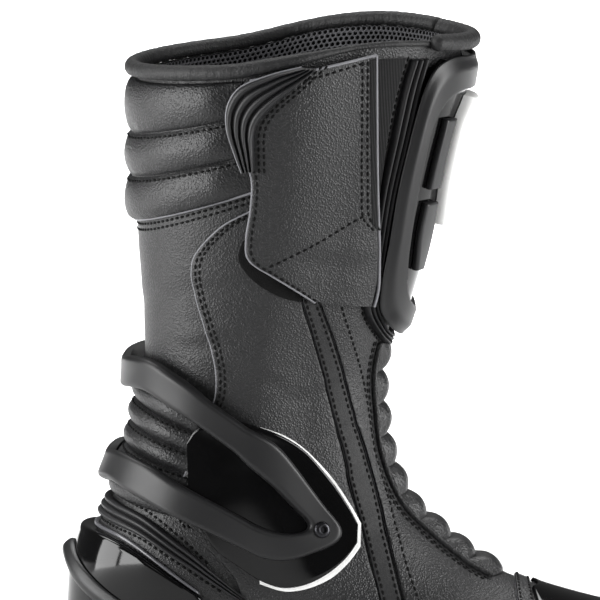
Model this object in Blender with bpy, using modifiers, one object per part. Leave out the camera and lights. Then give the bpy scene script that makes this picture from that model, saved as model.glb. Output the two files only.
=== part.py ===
"""Road-racing motorcycle boot, right foot, standing empty on its sole.

The toe points along +X, the outer (lateral) side faces -Y and +Z is up.
The origin lies on the floor under the heel lug.

Every table of the boot's form holds shares: x columns are in 300ths of BOOT_LENGTH, z columns
in 320ths of SHAFT_HEIGHT and breadth columns in 94ths of BALL_WIDTH, so one unit is 1 mm on
this boot.  Angles run round the boot in degrees: 0 at the back, 90 at the outer side, 180 at
the front, and negative on the inner side.
"""

from functools import lru_cache
from math import acos, cos, degrees, pi, radians, sin, sqrt

import bmesh
import bpy
from mathutils import Vector

# Driving sizes, in metres
BOOT_LENGTH = 0.300
SHAFT_HEIGHT = 0.320
BALL_WIDTH = 0.094
UPPER_WALL = 0.0022
SEAT_GAP = 0.0003
FACET_ALLOWANCE = 0.00048
THINNEST = 0.0005
PANEL_THICKNESS = 0.0014
STRAP_THICKNESS = 0.0018
GORE_THICKNESS = 0.0010
PATCH_THICKNESS = 0.0008
FLAP_THICKNESS = 0.0022
TAB_THICKNESS = 0.0018
TAB_RIB_HEIGHT = 0.0014
TAB_RIBS = 4
COLLAR_ROLL_RADIUS = 0.0036
COLLAR_ROLL_LEAN = 0.0020
FRONT_ROLL_RADIUS = 0.0040
FRONT_ROLL_LEAN = 0.0035
CALF_ROLL_HEIGHT = 0.0054
CALF_SEAM_HEIGHT = 0.0028
ACHILLES_ROLL_HEIGHT = 0.0050
ACHILLES_SEAM_HEIGHT = 0.0022
ACHILLES_ROLLS = 5
FLEX_RIBS = 9
FLEX_RIB_HEIGHT = 0.0044
FLEX_VALLEY_HEIGHT = 0.0012
PIPING_HEIGHT = 0.0022
GASKET_RIBS = 3
GASKET_RIB_HEIGHT = 0.0036
GASKET_BASE_HEIGHT = 0.0016
SHIN_PLATE_THICKNESS = 0.0050
SHIN_FRAME_THICKNESS = 0.0032
SHIN_FRAME_EDGE = 0.3
SHIN_FRAME_BEVEL = 0.6
SHIN_INSERT_THICKNESS = 0.0054
SHIN_PAD_THICKNESS = 0.0028
BRACE_EDGE_THICKNESS = 0.0010
BRACE_BASE_THICKNESS = 0.0025
BRACE_THICKNESS = 0.0038
BRACE_EDGE_DROP = 0.0012
SCREW_RADIUS = 0.0033
SCREW_HEIGHT = 0.0014
SCREW_SOCKET_RADIUS = 0.0016
SCREW_SOCKET_DEPTH = 0.0009
COUNTER_THICKNESS = 0.0033
COUNTER_SWELL = 0.0036
SPUR_THICKNESS = 0.0042
SPUR_EDGE = 0.35
TRIM_HEIGHT = 0.0018
HEEL_PIPING_HEIGHT = 0.0026
HEEL_PIPING_BASE = 0.0012
HEEL_PIPING_RIBS = 3
TOE_CAP_THICKNESS = 0.0020
VAMP_BAND_THICKNESS = 0.0014
SOLE_MARGIN = 0.0036
SOLE_STEP = 0.0012
SOLE_STEP_SHARE = 0.45
SOLE_FOOT_TAPER = 0.0022
ARCH_LIFT = 0.0100
TOE_SPRING = 0.0120
LUG_DEPTH = 0.0026
INSOLE_THICKNESS = 0.0040
INSOLE_CLEARANCE = 0.0010

# Mesh density
UPPER_SEGMENTS = 30
SOLE_STATIONS = 15
ROLL_SIDES = 6
PATH_STEPS = 60

X_UNIT = BOOT_LENGTH / 300.0
Z_UNIT = SHAFT_HEIGHT / 320.0
Y_UNIT = BALL_WIDTH / 94.0

# Places of the upper's mesh rings: closer over the foot and ankle than up the shaft
FOOT_RING_STEP = 0.46
SHAFT_RING_STEP = 1.0
SHAFT_START_RING = 11.0

# Stations along a ring, as shares of its length, where the three breadths are given
STATIONS = (0.12, 0.45, 0.72)

# Rings of the last from the feather line (first) to the collar (last).  back and front are the
# ring's ends in the side view, rear, middle and fore its half breadths at STATIONS.  A negative
# ball_drop lifts the collar.
# back_x, back_z, front_x, front_z, rear, middle, fore, roundness, ball_drop, toe_turn
LAST_RINGS = (
    (13.0, 27.0, 292.0, 24.0, 30.0, 31.0, 44.5, 3.00, 12.0, 7.0),
    (9.0, 40.0, 296.0, 38.0, 33.5, 35.0, 47.5, 2.90, 9.0, 7.0),
    (8.0, 54.0, 288.0, 52.0, 34.5, 36.5, 47.0, 2.70, 6.0, 7.0),
    (7.5, 66.0, 264.0, 62.0, 35.0, 37.5, 43.5, 2.40, 3.0, 6.0),
    (8.5, 76.0, 233.0, 69.0, 35.0, 38.5, 38.0, 2.20, 1.0, 4.0),
    (9.8, 86.0, 205.0, 77.5, 35.0, 39.5, 34.5, 2.10, 0.0, 3.0),
    (12.5, 97.0, 183.0, 88.0, 34.5, 40.5, 34.0, 2.10, 0.0, 2.0),
    (17.5, 109.0, 165.5, 101.5, 33.5, 41.5, 33.5, 2.10, 0.0, 1.0),
    (24.0, 122.0, 151.0, 116.0, 32.0, 41.5, 33.0, 2.10, 0.0, 0.0),
    (29.5, 137.0, 142.0, 136.0, 30.5, 40.5, 32.5, 2.10, 0.0, 0.0),
    (33.0, 152.0, 138.8, 156.0, 29.5, 40.0, 32.0, 2.10, 0.0, 0.0),
    (35.8, 172.0, 138.5, 178.0, 30.0, 41.5, 33.5, 2.10, 0.0, 0.0),
    (35.5, 200.0, 147.0, 206.0, 32.0, 45.0, 36.5, 2.10, 0.0, 0.0),
    (33.2, 232.0, 157.0, 240.0, 35.0, 50.0, 40.5, 2.10, 0.0, 0.0),
    (32.8, 268.0, 167.0, 279.0, 38.0, 55.0, 44.0, 2.10, 0.0, 0.0),
    (33.0, 303.0, 174.0, 315.0, 40.0, 58.0, 46.0, 2.10, -7.0, 0.0),
)
TOP_RING = len(LAST_RINGS) - 1

# The ball drop is full at this share of a ring and starts at the other
DROP_START = 0.25
DROP_PERIOD = 0.90
TURN_START = 0.45

# Steps along and round the last over which its normals are measured
RING_STEP = 0.04
ANGLE_STEP = 1.5
COLLAR_STEP = 0.1
BISECTIONS = 26

# Sole: where its flats, arch and toe spring begin and end, along x
HEEL_LUGS = ((16.0, 30.0), (35.0, 53.0), (58.0, 74.0))
HEEL_BREAST = 80.0
ARCH_END = 138.0
FOREFOOT_LUGS = ((150.0, 164.0), (169.0, 183.0), (188.0, 202.0), (207.0, 221.0), (226.0, 238.0))
LUG_RAMP = 1.5
TOE_CURVE = 1.7
ARCH_CURVE = 1.5

# The origin lies under the middle heel lug
HEEL_CENTRE = 0.5 * sum(HEEL_LUGS[1]) * X_UNIT

# Side-view outlines of the plates, row by row: x and z of one edge, then of the other
LATERAL_PANEL = (
    (82.0, 249.0, 108.0, 249.0), (70.0, 242.0, 107.0, 242.0), (59.5, 230.0, 106.0, 230.0),
    (57.5, 221.0, 104.5, 219.0), (59.0, 211.0, 104.0, 207.0), (63.0, 197.0, 107.5, 195.0),
    (67.0, 181.0, 112.0, 179.0), (67.0, 167.0, 115.0, 166.0), (62.0, 155.0, 118.0, 153.0),
    (57.0, 140.0, 121.5, 139.0), (52.0, 127.0, 124.0, 126.0), (49.0, 117.0, 127.5, 115.0),
    (53.0, 109.0, 130.0, 107.0), (62.0, 102.5, 131.5, 100.0), (69.5, 95.0, 133.5, 92.0),
    (76.0, 86.0, 136.0, 84.0), (79.0, 74.0, 138.5, 74.0), (83.0, 60.0, 142.0, 60.0),
    (87.0, 45.0, 146.5, 45.0), (92.0, 33.0, 150.5, 33.0),
)
INSTEP_STRAP_A = (
    (105.0, 206.0, 111.5, 206.0), (108.5, 194.0, 115.5, 195.0), (113.0, 177.0, 120.0, 179.0),
    (117.0, 159.0, 124.5, 160.0), (122.0, 141.0, 130.0, 140.0), (125.5, 124.0, 134.5, 125.0),
    (130.5, 107.0, 139.0, 107.0), (134.5, 92.0, 143.0, 92.0), (138.5, 77.0, 147.0, 77.0),
    (143.5, 58.0, 152.0, 58.0), (151.5, 33.0, 160.0, 33.0),
)
INSTEP_STRAP_B = (
    (113.5, 203.0, 123.0, 201.5), (117.5, 192.0, 126.0, 191.0), (122.0, 175.0, 130.0, 174.0),
    (126.0, 158.0, 132.8, 157.0), (131.5, 140.0, 135.4, 140.0), (136.0, 124.0, 140.0, 124.0),
    (140.5, 107.0, 145.5, 107.0), (144.5, 92.0, 150.0, 92.0), (148.5, 77.0, 155.5, 77.0),
    (153.5, 58.0, 162.0, 58.0), (161.5, 33.0, 171.0, 33.0),
)
CLOSING_FLAP = (
    (84.0, 307.0, 134.0, 316.3), (76.0, 296.0, 134.0, 303.0), (76.0, 283.0, 134.0, 285.0),
    (83.0, 266.0, 134.0, 266.0), (83.0, 252.0, 134.0, 250.0), (81.0, 238.0, 134.5, 238.0),
    (82.0, 229.0, 134.5, 228.0), (91.0, 222.0, 134.0, 218.0), (108.0, 209.5, 131.5, 206.0),
)
PULL_TAB = (
    (79.0, 303.0, 104.0, 307.0), (74.5, 294.5, 96.0, 301.5), (74.0, 289.0, 88.0, 293.5),
    (74.5, 284.0, 85.0, 284.5), (77.0, 275.0, 84.8, 276.0), (79.8, 267.0, 84.8, 268.0),
)
STRETCH_GORE = (
    (136.0, 314.0, 148.8, 314.0), (136.0, 290.0, 142.6, 290.0), (136.0, 263.0, 138.5, 263.0),
    (136.0, 252.0, 137.0, 252.0),
)
HOOK_PATCH = (
    (75.5, 239.0, 84.0, 240.0), (76.5, 229.0, 87.0, 233.0), (83.0, 219.5, 93.0, 226.0),
    (94.0, 212.0, 101.0, 219.0), (103.0, 209.0, 106.0, 216.0),
)
# Brace seat plates: x, then z of the upper and of the lower edge
BRACE_BASE = (
    (56.5, 147.0, 129.0), (60.0, 153.0, 114.0), (66.0, 156.0, 102.0), (76.0, 157.0, 94.0),
    (86.0, 154.0, 87.5), (96.0, 149.0, 84.5), (106.0, 141.0, 85.5), (115.0, 130.0, 89.5),
    (122.0, 119.0, 95.0), (127.0, 109.5, 101.5),
)
BRACE_EDGE = (
    (86.0, 154.0, 85.5), (96.0, 149.8, 82.5), (106.0, 142.2, 83.2), (116.0, 131.0, 87.0),
    (123.5, 119.5, 93.0), (129.0, 109.8, 100.0),
)
SCREW_PLACE = (110.0, 108.0)

# Ankle brace, from the back of its upper arm over the outer side's pivot to the back of its
# lower arm: angle and z of the outer edge, angle and z of the inner edge
ANKLE_BRACE = (
    (0.0, 179.5, 0.0, 165.0), (18.0, 181.5, 18.0, 167.0), (36.0, 181.5, 35.0, 167.0),
    (55.0, 174.0, 53.0, 160.0), (67.0, 166.0, 62.5, 155.0), (79.0, 158.5, 72.0, 148.5),
    (88.0, 152.5, 81.0, 142.0), (96.5, 146.0, 88.5, 134.0), (105.0, 134.0, 94.5, 127.0),
    (112.5, 119.0, 101.0, 116.5), (115.0, 109.5, 103.0, 111.5), (110.5, 103.0, 101.5, 108.5),
    (101.0, 99.0, 96.5, 107.5), (89.0, 97.0, 90.0, 109.5), (78.0, 103.0, 81.5, 115.5),
    (65.0, 110.5, 70.0, 122.0), (53.0, 115.5, 57.0, 128.5), (40.0, 120.5, 42.0, 135.0),
    (20.0, 124.5, 20.0, 138.0), (0.0, 122.5, 0.0, 135.5),
)

# Shin guard: z and degrees off the front line, of the outer and of the inner edge
SHIN_FRAME = (
    (313.0, 0.0, 299.0, 0.0), (313.5, 18.0, 299.0, 12.0), (313.0, 31.0, 298.5, 24.0),
    (307.0, 39.5, 293.5, 32.0), (290.0, 44.0, 283.0, 36.5), (262.0, 46.0, 262.0, 37.0),
    (235.0, 44.0, 238.0, 34.5), (215.0, 42.0, 222.0, 30.5), (203.0, 37.5, 210.0, 22.5),
    (194.5, 22.0, 204.5, 10.0), (191.0, 0.0, 202.5, 0.0),
)
SHIN_GASKET = (
    (313.0, 47.0, 313.0, 39.0), (295.0, 50.0, 295.0, 41.5), (262.0, 51.5, 262.0, 43.7),
    (237.0, 49.5, 237.0, 42.3), (214.0, 46.0, 214.0, 39.5), (201.5, 42.5, 204.5, 36.0),
    (191.5, 28.0, 196.0, 25.5), (186.5, 13.0, 191.5, 12.0), (185.0, 0.0, 190.0, 0.0),
)
# z of the row, then its half width in degrees
SHIN_PLATE = (
    (312.0, 30.0), (305.0, 37.0), (290.0, 40.5), (262.0, 42.3), (235.0, 40.8), (215.0, 38.0),
    (204.5, 32.5), (196.0, 17.0),
)
SHIN_INSERT = (
    (295.5, 11.5), (288.0, 17.5), (280.0, 20.0), (262.0, 19.5), (250.0, 16.0), (240.0, 11.0),
)
# z of the row, then degrees off the front line of its two edges
SHIN_PAD_UPPER = ((287.0, 20.5, 28.5), (272.0, 22.3, 29.8), (257.0, 21.0, 29.8))
SHIN_PAD_LOWER = ((251.0, 19.5, 29.2), (236.0, 15.5, 27.8), (221.0, 14.0, 22.5))

# Rolls of the calf: seam lines, z at the back and at the rolls' end, and x of that end
CALF_SEAMS = ((301.0, 305.5, 73.5), (278.0, 290.0, 73.0), (259.0, 273.5, 75.5), (240.0, 258.0, 81.0))
# Rolls over the tendon: z of the top and bottom seam at the back and at their ends
ACHILLES_SEAMS = ((171.0, 160.0), (119.5, 113.0))
ACHILLES_END = 52.5
# A roll's section: the lower the power, the squarer it swells; then the share of the height at
# which its ends start and the share of its length over which they rise
CALF_ROLL_FORM = (0.6, 0.45, 0.12)
ACHILLES_ROLL_FORM = (0.7, 0.40, 0.15)
FLEX_RIB_FORM = (0.8, 0.35, 0.25)

FLEX_HALF_ANGLE = 18.0
FLEX_TOP = 183.5
FLEX_END_X = 192.0
INSTEP_PIPING_ANGLES = (18.8, 21.0)
FRONT_ROLL_HALF_ANGLE = 38.0
COLLAR_JOINT_ANGLE = 1.0

# Heel counter: z of its top edge at the back and at its ends, z of its foot, angle of its ends
COUNTER_TOP = 103.5
COUNTER_TOP_END = 80.0
COUNTER_FOOT = 31.5
COUNTER_ANGLES = (60.0, 63.0)
COUNTER_SWEEP = 4.0
# The swell at its back narrows this much faster than a half turn, and rises over these shares
COUNTER_NARROWING = 1.3
COUNTER_RISE = (-0.1, 0.9)
TRIM_RISE = (0.9, 2.6)
# angle, z of the top and bottom edge, share of SPUR_THICKNESS
HEEL_SPUR = (
    (0.0, 96.0, 88.0, 1.0), (14.0, 91.0, 82.0, 0.75), (32.0, 80.0, 69.5, 0.40),
    (46.0, 67.0, 56.0, 0.30), (58.0, 54.0, 43.0, 0.22),
)
# angle, z of the top and bottom edge
HEEL_PIPING = (
    (0.0, 117.5, 109.0), (20.0, 117.0, 108.5), (42.0, 113.0, 104.5), (58.0, 103.0, 94.0),
    (67.0, 91.5, 82.5),
)
# ring, x of the cap's rear edge
TOE_CAP = (
    (4.92, 204.5), (4.40, 206.5), (3.70, 208.5), (2.90, 211.0), (2.00, 213.5), (1.10, 216.0),
    (0.30, 218.0),
)
VAMP_BAND_X = (197.0, 203.5)
VAMP_BAND_FOOT = (204.0, 216.5)
VAMP_BAND_REACH = 0.97


def material(name, colour, roughness, metallic=0.0):
    """A Principled finish; colour is linear."""
    finish = bpy.data.materials.new(name)
    finish.use_nodes = True
    shader = finish.node_tree.nodes["Principled BSDF"]
    shader.inputs["Base Color"].default_value = (*colour, 1.0)
    shader.inputs["Roughness"].default_value = roughness
    shader.inputs["Metallic"].default_value = metallic
    finish.diffuse_color = (*colour, 1.0)
    return finish


def spline(rows, place):
    """Row of values at a place between the rows, on a Catmull-Rom curve."""
    last = len(rows) - 1
    place = min(max(place, 0.0), float(last))
    index = min(int(place), last - 1)
    f = place - index
    before = rows[max(index - 1, 0)]
    start = rows[index]
    end = rows[index + 1]
    after = rows[min(index + 2, last)]
    values = []
    for a, b, c, d in zip(before, start, end, after):
        square = (2 * a - 5 * b + 4 * c - d) * f ** 2
        cube = (3 * b - a - 3 * c + d) * f ** 3
        values.append(0.5 * (2 * b + (c - a) * f + square + cube))
    return tuple(values)


def straight(rows, share):
    """Row of values at a share 0..1 of the rows, on straight lines between them."""
    place = min(max(share, 0.0), 1.0) * (len(rows) - 1)
    index = min(int(place), len(rows) - 2)
    f = place - index
    return tuple(a + (b - a) * f for a, b in zip(rows[index], rows[index + 1]))


def smoothstep(low, high, value):
    share = min(max((value - low) / (high - low), 0.0), 1.0)
    return share * share * (3.0 - 2.0 * share)


def rounding(share, roundness):
    """How far a ring is drawn in towards its two ends, 0 at the end, 1 in the middle."""
    return max(1.0 - abs(2.0 * share - 1.0) ** roundness, 0.0) ** (1.0 / roundness)


@lru_cache(maxsize=4096)
def ring(place):
    """Sizes of one ring in metres: ends, breadths at STATIONS, roundness, drop and turn."""
    bx, bz, fx, fz, rear, middle, fore, roundness, drop, turn = spline(LAST_RINGS, place)
    breadths = tuple(
        breadth * Y_UNIT / rounding(station, roundness)
        for breadth, station in zip((rear, middle, fore), STATIONS)
    )
    return (bx * X_UNIT, bz * Z_UNIT, fx * X_UNIT, fz * Z_UNIT, breadths, roundness,
            drop * Z_UNIT, turn * Y_UNIT)


def breadth_at(breadths, share):
    """Half breadth between the stations, before the ends are rounded."""
    rear, middle, fore = breadths
    if share < STATIONS[1]:
        return rear + (middle - rear) * smoothstep(STATIONS[0], STATIONS[1], share)
    return middle + (fore - middle) * smoothstep(STATIONS[1], STATIONS[2], share)


def sag(share):
    """Shape of the ball drop along a ring."""
    return sin(pi * min(max((share - DROP_START) / DROP_PERIOD, 0.0), 1.0)) ** 2


def share_of(angle):
    return 0.5 * (1.0 - cos(radians(angle)))


def skin(place, angle):
    """Point of the last's surface on a ring, at an angle round the boot."""
    bx, bz, fx, fz, breadths, roundness, drop, turn = ring(place)
    share = share_of(angle)
    side = -1.0 if sin(radians(angle)) > 0.0 else 1.0
    half = rounding(share, roundness) * breadth_at(breadths, share)
    x = bx + (fx - bx) * share
    y = side * half + turn * smoothstep(TURN_START, 1.0, share)
    z = bz + (fz - bz) * share - drop * sag(share)
    return Vector((x, y, z))


def outward(place, angle):
    """Unit normal of the last's surface, pointing out of the boot."""
    low = max(place - RING_STEP, 0.0)
    high = min(place + RING_STEP, float(TOP_RING))
    along = skin(high, angle) - skin(low, angle)
    around = skin(place, angle + ANGLE_STEP) - skin(place, angle - ANGLE_STEP)
    return along.cross(around).normalized() * -1.0


def proud(place, angle, height):
    """Point at a height over the last's surface."""
    return skin(place, angle) + outward(place, angle) * height


def bisect(rises, low, high):
    """Place where rises(place) turns positive."""
    for _ in range(BISECTIONS):
        middle = 0.5 * (low + high)
        if rises(middle) > 0.0:
            high = middle
        else:
            low = middle
    return 0.5 * (low + high)


def at_height(angle, z):
    """Ring and angle of the surface point that lies at a height z."""
    level = z * Z_UNIT
    return bisect(lambda place: skin(place, angle).z - level, 0.0, float(TOP_RING)), angle


def at_side(x, z, side):
    """Ring and angle of the surface point seen at x, z from a side, 1 outer or -1 inner."""
    length = x * X_UNIT
    level = z * Z_UNIT

    def share_on(place):
        bx, _, fx, _, _, _, _, _ = ring(place)
        return min(max((length - bx) / (fx - bx), 0.0), 1.0)

    def rises(place):
        _, bz, _, fz, _, _, drop, _ = ring(place)
        share = share_on(place)
        return bz + (fz - bz) * share - drop * sag(share) - level

    place = bisect(rises, 0.0, float(TOP_RING))
    return place, side * degrees(acos(1.0 - 2.0 * share_on(place)))


def at_section(x, turn):
    """Ring and angle on the foot's cross-section at x; turn runs -1, 0 at the top, 1."""
    length = x * X_UNIT
    top = bisect(lambda place: length - ring(place)[2], 0.0, float(TOP_RING))
    place = top * (1.0 - turn * turn)
    bx, _, fx, _, _, _, _, _ = ring(place)
    share = min(max((length - bx) / (fx - bx), 0.0), 1.0)
    angle = degrees(acos(1.0 - 2.0 * share))
    return place, angle if turn >= 0.0 else 360.0 - angle


def spread(count):
    return [i / count for i in range(count + 1)]


def finish_object(name, shape, finish, collection):
    mesh = bpy.data.meshes.new(name)
    shape.to_mesh(mesh)
    shape.free()
    mesh.materials.append(finish)
    mesh.shade_smooth()
    mesh.set_sharp_from_angle(angle=radians(40.0))
    piece = bpy.data.objects.new(name, mesh)
    piece.location.x = -HEEL_CENTRE
    collection.objects.link(piece)
    return piece


def plate(name, finish, collection, place, across, along, under, over, loop=False):
    """Closed plate that follows the last.

    place(u, v) gives the ring and angle of a point, across and along are the shares u and v of
    its grid lines, under and over its two heights over the last, as numbers or functions of
    u and v.  A loop joins its last row to its first.  The underside is lifted by as much as its
    flat facets dip towards the last.
    """
    def height(value, u, v):
        return value(u, v) if callable(value) else value

    rows = len(along)
    columns = len(across)
    feet = [[(skin(*place(u, v)), outward(*place(u, v))) for u in across] for v in along]
    low_points = [
        [foot + normal * height(under, u, v) for u, (foot, normal) in zip(across, row)]
        for v, row in zip(along, feet)
    ]
    lifts = [[FACET_ALLOWANCE] * columns for _ in along]
    for j in range(rows if loop else rows - 1):
        k = (j + 1) % rows
        v = 0.5 * (along[j] + (along[k] if k else 1.0))
        for i in range(columns - 1):
            near_row = low_points[j]
            next_row = low_points[k]
            diagonals = (0.5 * (near_row[i] + next_row[i + 1]), 0.5 * (near_row[i + 1] + next_row[i]))
            u = 0.5 * (across[i] + across[i + 1])
            middle = place(u, v)
            normal = outward(*middle)
            lowest = min((point - skin(*middle)).dot(normal) for point in diagonals)
            dip = height(under, u, v) - lowest
            for row, column in ((j, i), (j, i + 1), (k, i), (k, i + 1)):
                lifts[row][column] = max(lifts[row][column], dip + FACET_ALLOWANCE)
    shape = bmesh.new()
    lower = []
    upper = []
    for v, row, row_lifts in zip(along, feet, lifts):
        low_row = []
        high_row = []
        for u, (foot, normal), lift in zip(across, row, row_lifts):
            floor = height(under, u, v) + lift
            low_row.append(shape.verts.new(foot + normal * floor))
            high_row.append(shape.verts.new(foot + normal * max(height(over, u, v), floor + THINNEST)))
        lower.append(low_row)
        upper.append(high_row)
    for j in range(rows if loop else rows - 1):
        k = (j + 1) % rows
        for i in range(columns - 1):
            shape.faces.new((upper[j][i], upper[j][i + 1], upper[k][i + 1], upper[k][i]))
            shape.faces.new((lower[j][i + 1], lower[j][i], lower[k][i], lower[k][i + 1]))
        shape.faces.new((upper[j][0], upper[k][0], lower[k][0], lower[j][0]))
        shape.faces.new((upper[k][-1], upper[j][-1], lower[j][-1], lower[k][-1]))
    if not loop:
        for i in range(columns - 1):
            shape.faces.new((upper[0][i + 1], upper[0][i], lower[0][i], lower[0][i + 1]))
            shape.faces.new((upper[-1][i], upper[-1][i + 1], lower[-1][i + 1], lower[-1][i]))
    bmesh.ops.remove_doubles(shape, verts=shape.verts, dist=0.00001)
    bmesh.ops.recalc_face_normals(shape, faces=shape.faces)
    return finish_object(name, shape, finish, collection)


def side_rows(table, side):
    """place(u, v) over a table of x, z of one edge and x, z of the other."""
    def place(u, v):
        x0, z0, x1, z1 = straight(table, v)
        return at_side(x0 + (x1 - x0) * u, z0 + (z1 - z0) * u, side)
    return place


def crowned(height, drop, sharpness=6.0):
    """Height that falls by drop at the two edges of a plate."""
    def over(u, v):
        return height - drop * max(0.0, 1.0 - sharpness * min(u, 1.0 - u))
    return over


def ribbed(base, height, ribs):
    """Height that rises and falls across a plate, with a valley at both edges."""
    def over(u, v):
        return base + (height - base) * abs(sin(pi * ribs * u))
    return over


def make_upper(collection, finish):
    """Hollow upper: the skin of the last from feather line to collar, with its wall inside."""
    shape = bmesh.new()
    foot_count = round(SHAFT_START_RING / FOOT_RING_STEP)
    shaft_count = round((TOP_RING - SHAFT_START_RING) / SHAFT_RING_STEP)
    places = [SHAFT_START_RING * i / foot_count for i in range(foot_count)]
    places += [SHAFT_START_RING + (TOP_RING - SHAFT_START_RING) * share for share in spread(shaft_count)]
    rows = []
    angles = [360.0 * i / UPPER_SEGMENTS for i in range(UPPER_SEGMENTS)]
    for place in places:
        rows.append([shape.verts.new(skin(place, angle)) for angle in angles])
    for low, high in zip(rows, rows[1:]):
        for i in range(UPPER_SEGMENTS):
            k = (i + 1) % UPPER_SEGMENTS
            shape.faces.new((low[i], high[i], high[k], low[k]))
    upper = finish_object("upper", shape, finish, collection)
    outside = upper.data.polygons[0]
    middle = Vector((0.5 * BOOT_LENGTH, 0.0, outside.center.z))
    facing_out = outside.normal.dot(outside.center - middle) > 0
    wall = upper.modifiers.new("wall", "SOLIDIFY")
    wall.thickness = UPPER_WALL
    wall.offset = -1.0 if facing_out else 1.0
    return upper


def sole_half(share, margin, side):
    """Plan outline of the sole: y at a share of its length, a margin outside the feather line."""
    _, _, _, _, breadths, roundness, _, turn = ring(0.0)
    half = rounding(share, roundness) * (breadth_at(breadths, share) + margin)
    return side * half + turn * smoothstep(TURN_START, 1.0, share)


def feather(x):
    """Height of the feather line at x, in metres."""
    bx, bz, fx, fz, _, _, drop, _ = ring(0.0)
    share = min(max((x - bx) / (fx - bx), 0.0), 1.0)
    return bz + (fz - bz) * share - drop * sag(share)


def tread(x):
    """Height of the outsole's underside at x: heel flat, arch, forefoot flat, toe spring."""
    flat_end = FOREFOOT_LUGS[-1][1] * X_UNIT
    toe = LAST_RINGS[0][2] * X_UNIT
    if x > flat_end:
        return TOE_SPRING * ((x - flat_end) / (toe - flat_end)) ** TOE_CURVE
    breast = HEEL_BREAST * X_UNIT
    arch_end = ARCH_END * X_UNIT
    if breast < x < arch_end:
        return ARCH_LIFT * (1.0 - smoothstep(breast, arch_end, x) ** ARCH_CURVE)
    return 0.0


def sole_stations():
    """x of each cross-section of the outsole and whether a lug stands there."""
    bx, _, fx, _, _, _, _, _ = ring(0.0)
    start = bx - SOLE_MARGIN
    end = fx + SOLE_MARGIN
    shares = [0.5 * (1.0 - cos(pi * i / SOLE_STATIONS)) for i in range(SOLE_STATIONS + 1)]
    ends = [start + (end - start) * share for share in shares]
    lugs = [(a * X_UNIT, b * X_UNIT) for a, b in HEEL_LUGS + FOREFOOT_LUGS]
    ramp = LUG_RAMP * X_UNIT
    kept = [x for x in ends if x < lugs[0][0] - 2 * ramp or x > lugs[-1][1] + 2 * ramp]
    breast = HEEL_BREAST * X_UNIT
    edges = []
    for a, b in lugs:
        edges += [(a - ramp, False), (a, True), (b, True), (b + ramp, False)]
    arch = [(breast, False), (breast + ramp, False), (0.5 * (breast + ARCH_END * X_UNIT), False)]
    return sorted([(x, False) for x in kept] + edges + arch)


def section_loft(name, finish, collection, sections):
    """Closed loft through cross-sections that all have the same number of points."""
    shape = bmesh.new()
    rows = [[shape.verts.new(point) for point in section] for section in sections]
    count = len(rows[0])
    for low, high in zip(rows, rows[1:]):
        for i in range(count):
            k = (i + 1) % count
            shape.faces.new((low[i], low[k], high[k], high[i]))
    shape.faces.new(rows[0])
    shape.faces.new(rows[-1])
    bmesh.ops.remove_doubles(shape, verts=shape.verts, dist=0.00002)
    bmesh.ops.dissolve_degenerate(shape, edges=shape.edges, dist=0.00002)
    bmesh.ops.recalc_face_normals(shape, faces=shape.faces)
    return finish_object(name, shape, finish, collection)


def make_outsole(collection, finish):
    bx, _, fx, _, _, _, _, _ = ring(0.0)
    start = bx - SOLE_MARGIN
    end = fx + SOLE_MARGIN
    sections = []
    for x, lug in sole_stations():
        share = min(max((x - start) / (end - start), 0.0008), 0.9992)
        top = feather(x) - SEAT_GAP
        bottom = tread(x)
        if bx < x < FOREFOOT_LUGS[-1][1] * X_UNIT and not lug:
            bottom = max(bottom, LUG_DEPTH)
        waist = bottom + (top - bottom) * SOLE_STEP_SHARE
        section = []
        for side in (-1.0, 1.0):
            points = [
                Vector((x, sole_half(share, SOLE_MARGIN, side), top)),
                Vector((x, sole_half(share, SOLE_MARGIN, side), waist + SOLE_STEP)),
                Vector((x, sole_half(share, SOLE_MARGIN - SOLE_STEP, side), waist)),
                Vector((x, sole_half(share, SOLE_MARGIN - SOLE_FOOT_TAPER, side), bottom)),
            ]
            section += points if side < 0 else points[::-1]
        sections.append(section)
    return section_loft("outsole", finish, collection, sections)


def make_insole(collection, finish):
    bx, _, fx, _, _, _, _, _ = ring(0.0)
    inset = UPPER_WALL + INSOLE_CLEARANCE
    start = bx + inset
    end = fx - inset
    sections = []
    count = SOLE_STATIONS
    for i in range(count + 1):
        share = 0.5 * (1.0 - cos(pi * i / count))
        x = start + (end - start) * share
        share = min(max(share, 0.0008), 0.9992)
        low = feather(x)
        high = low + INSOLE_THICKNESS
        left = sole_half(share, -inset, -1.0)
        right = sole_half(share, -inset, 1.0)
        sections.append([Vector((x, left, low)), Vector((x, right, low)),
                         Vector((x, right, high)), Vector((x, left, high))])
    return section_loft("insole", finish, collection, sections)


def collar_roll(name, finish, collection, start, end, steps, radius, lean):
    """Padded roll on part of the collar's edge, leaning out of the boot."""
    rise_height = sqrt((radius + SEAT_GAP) ** 2 - lean ** 2)
    shape = bmesh.new()
    rows = []
    for j in range(steps + 1):
        angle = start + (end - start) * j / steps
        edge = skin(TOP_RING, angle)
        normal = outward(TOP_RING, angle)
        rise = (edge - skin(TOP_RING - COLLAR_STEP, angle)).normalized()
        centre = edge + normal * lean + rise * rise_height
        row = []
        for i in range(ROLL_SIDES):
            turn = 2.0 * pi * i / ROLL_SIDES
            row.append(shape.verts.new(centre + (normal * cos(turn) + rise * sin(turn)) * radius))
        rows.append(row)
    for low, high in zip(rows, rows[1:]):
        for i in range(ROLL_SIDES):
            k = (i + 1) % ROLL_SIDES
            shape.faces.new((low[i], low[k], high[k], high[i]))
    shape.faces.new(rows[0])
    shape.faces.new(rows[-1])
    bmesh.ops.recalc_face_normals(shape, faces=shape.faces)
    return finish_object(name, shape, finish, collection)


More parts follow.
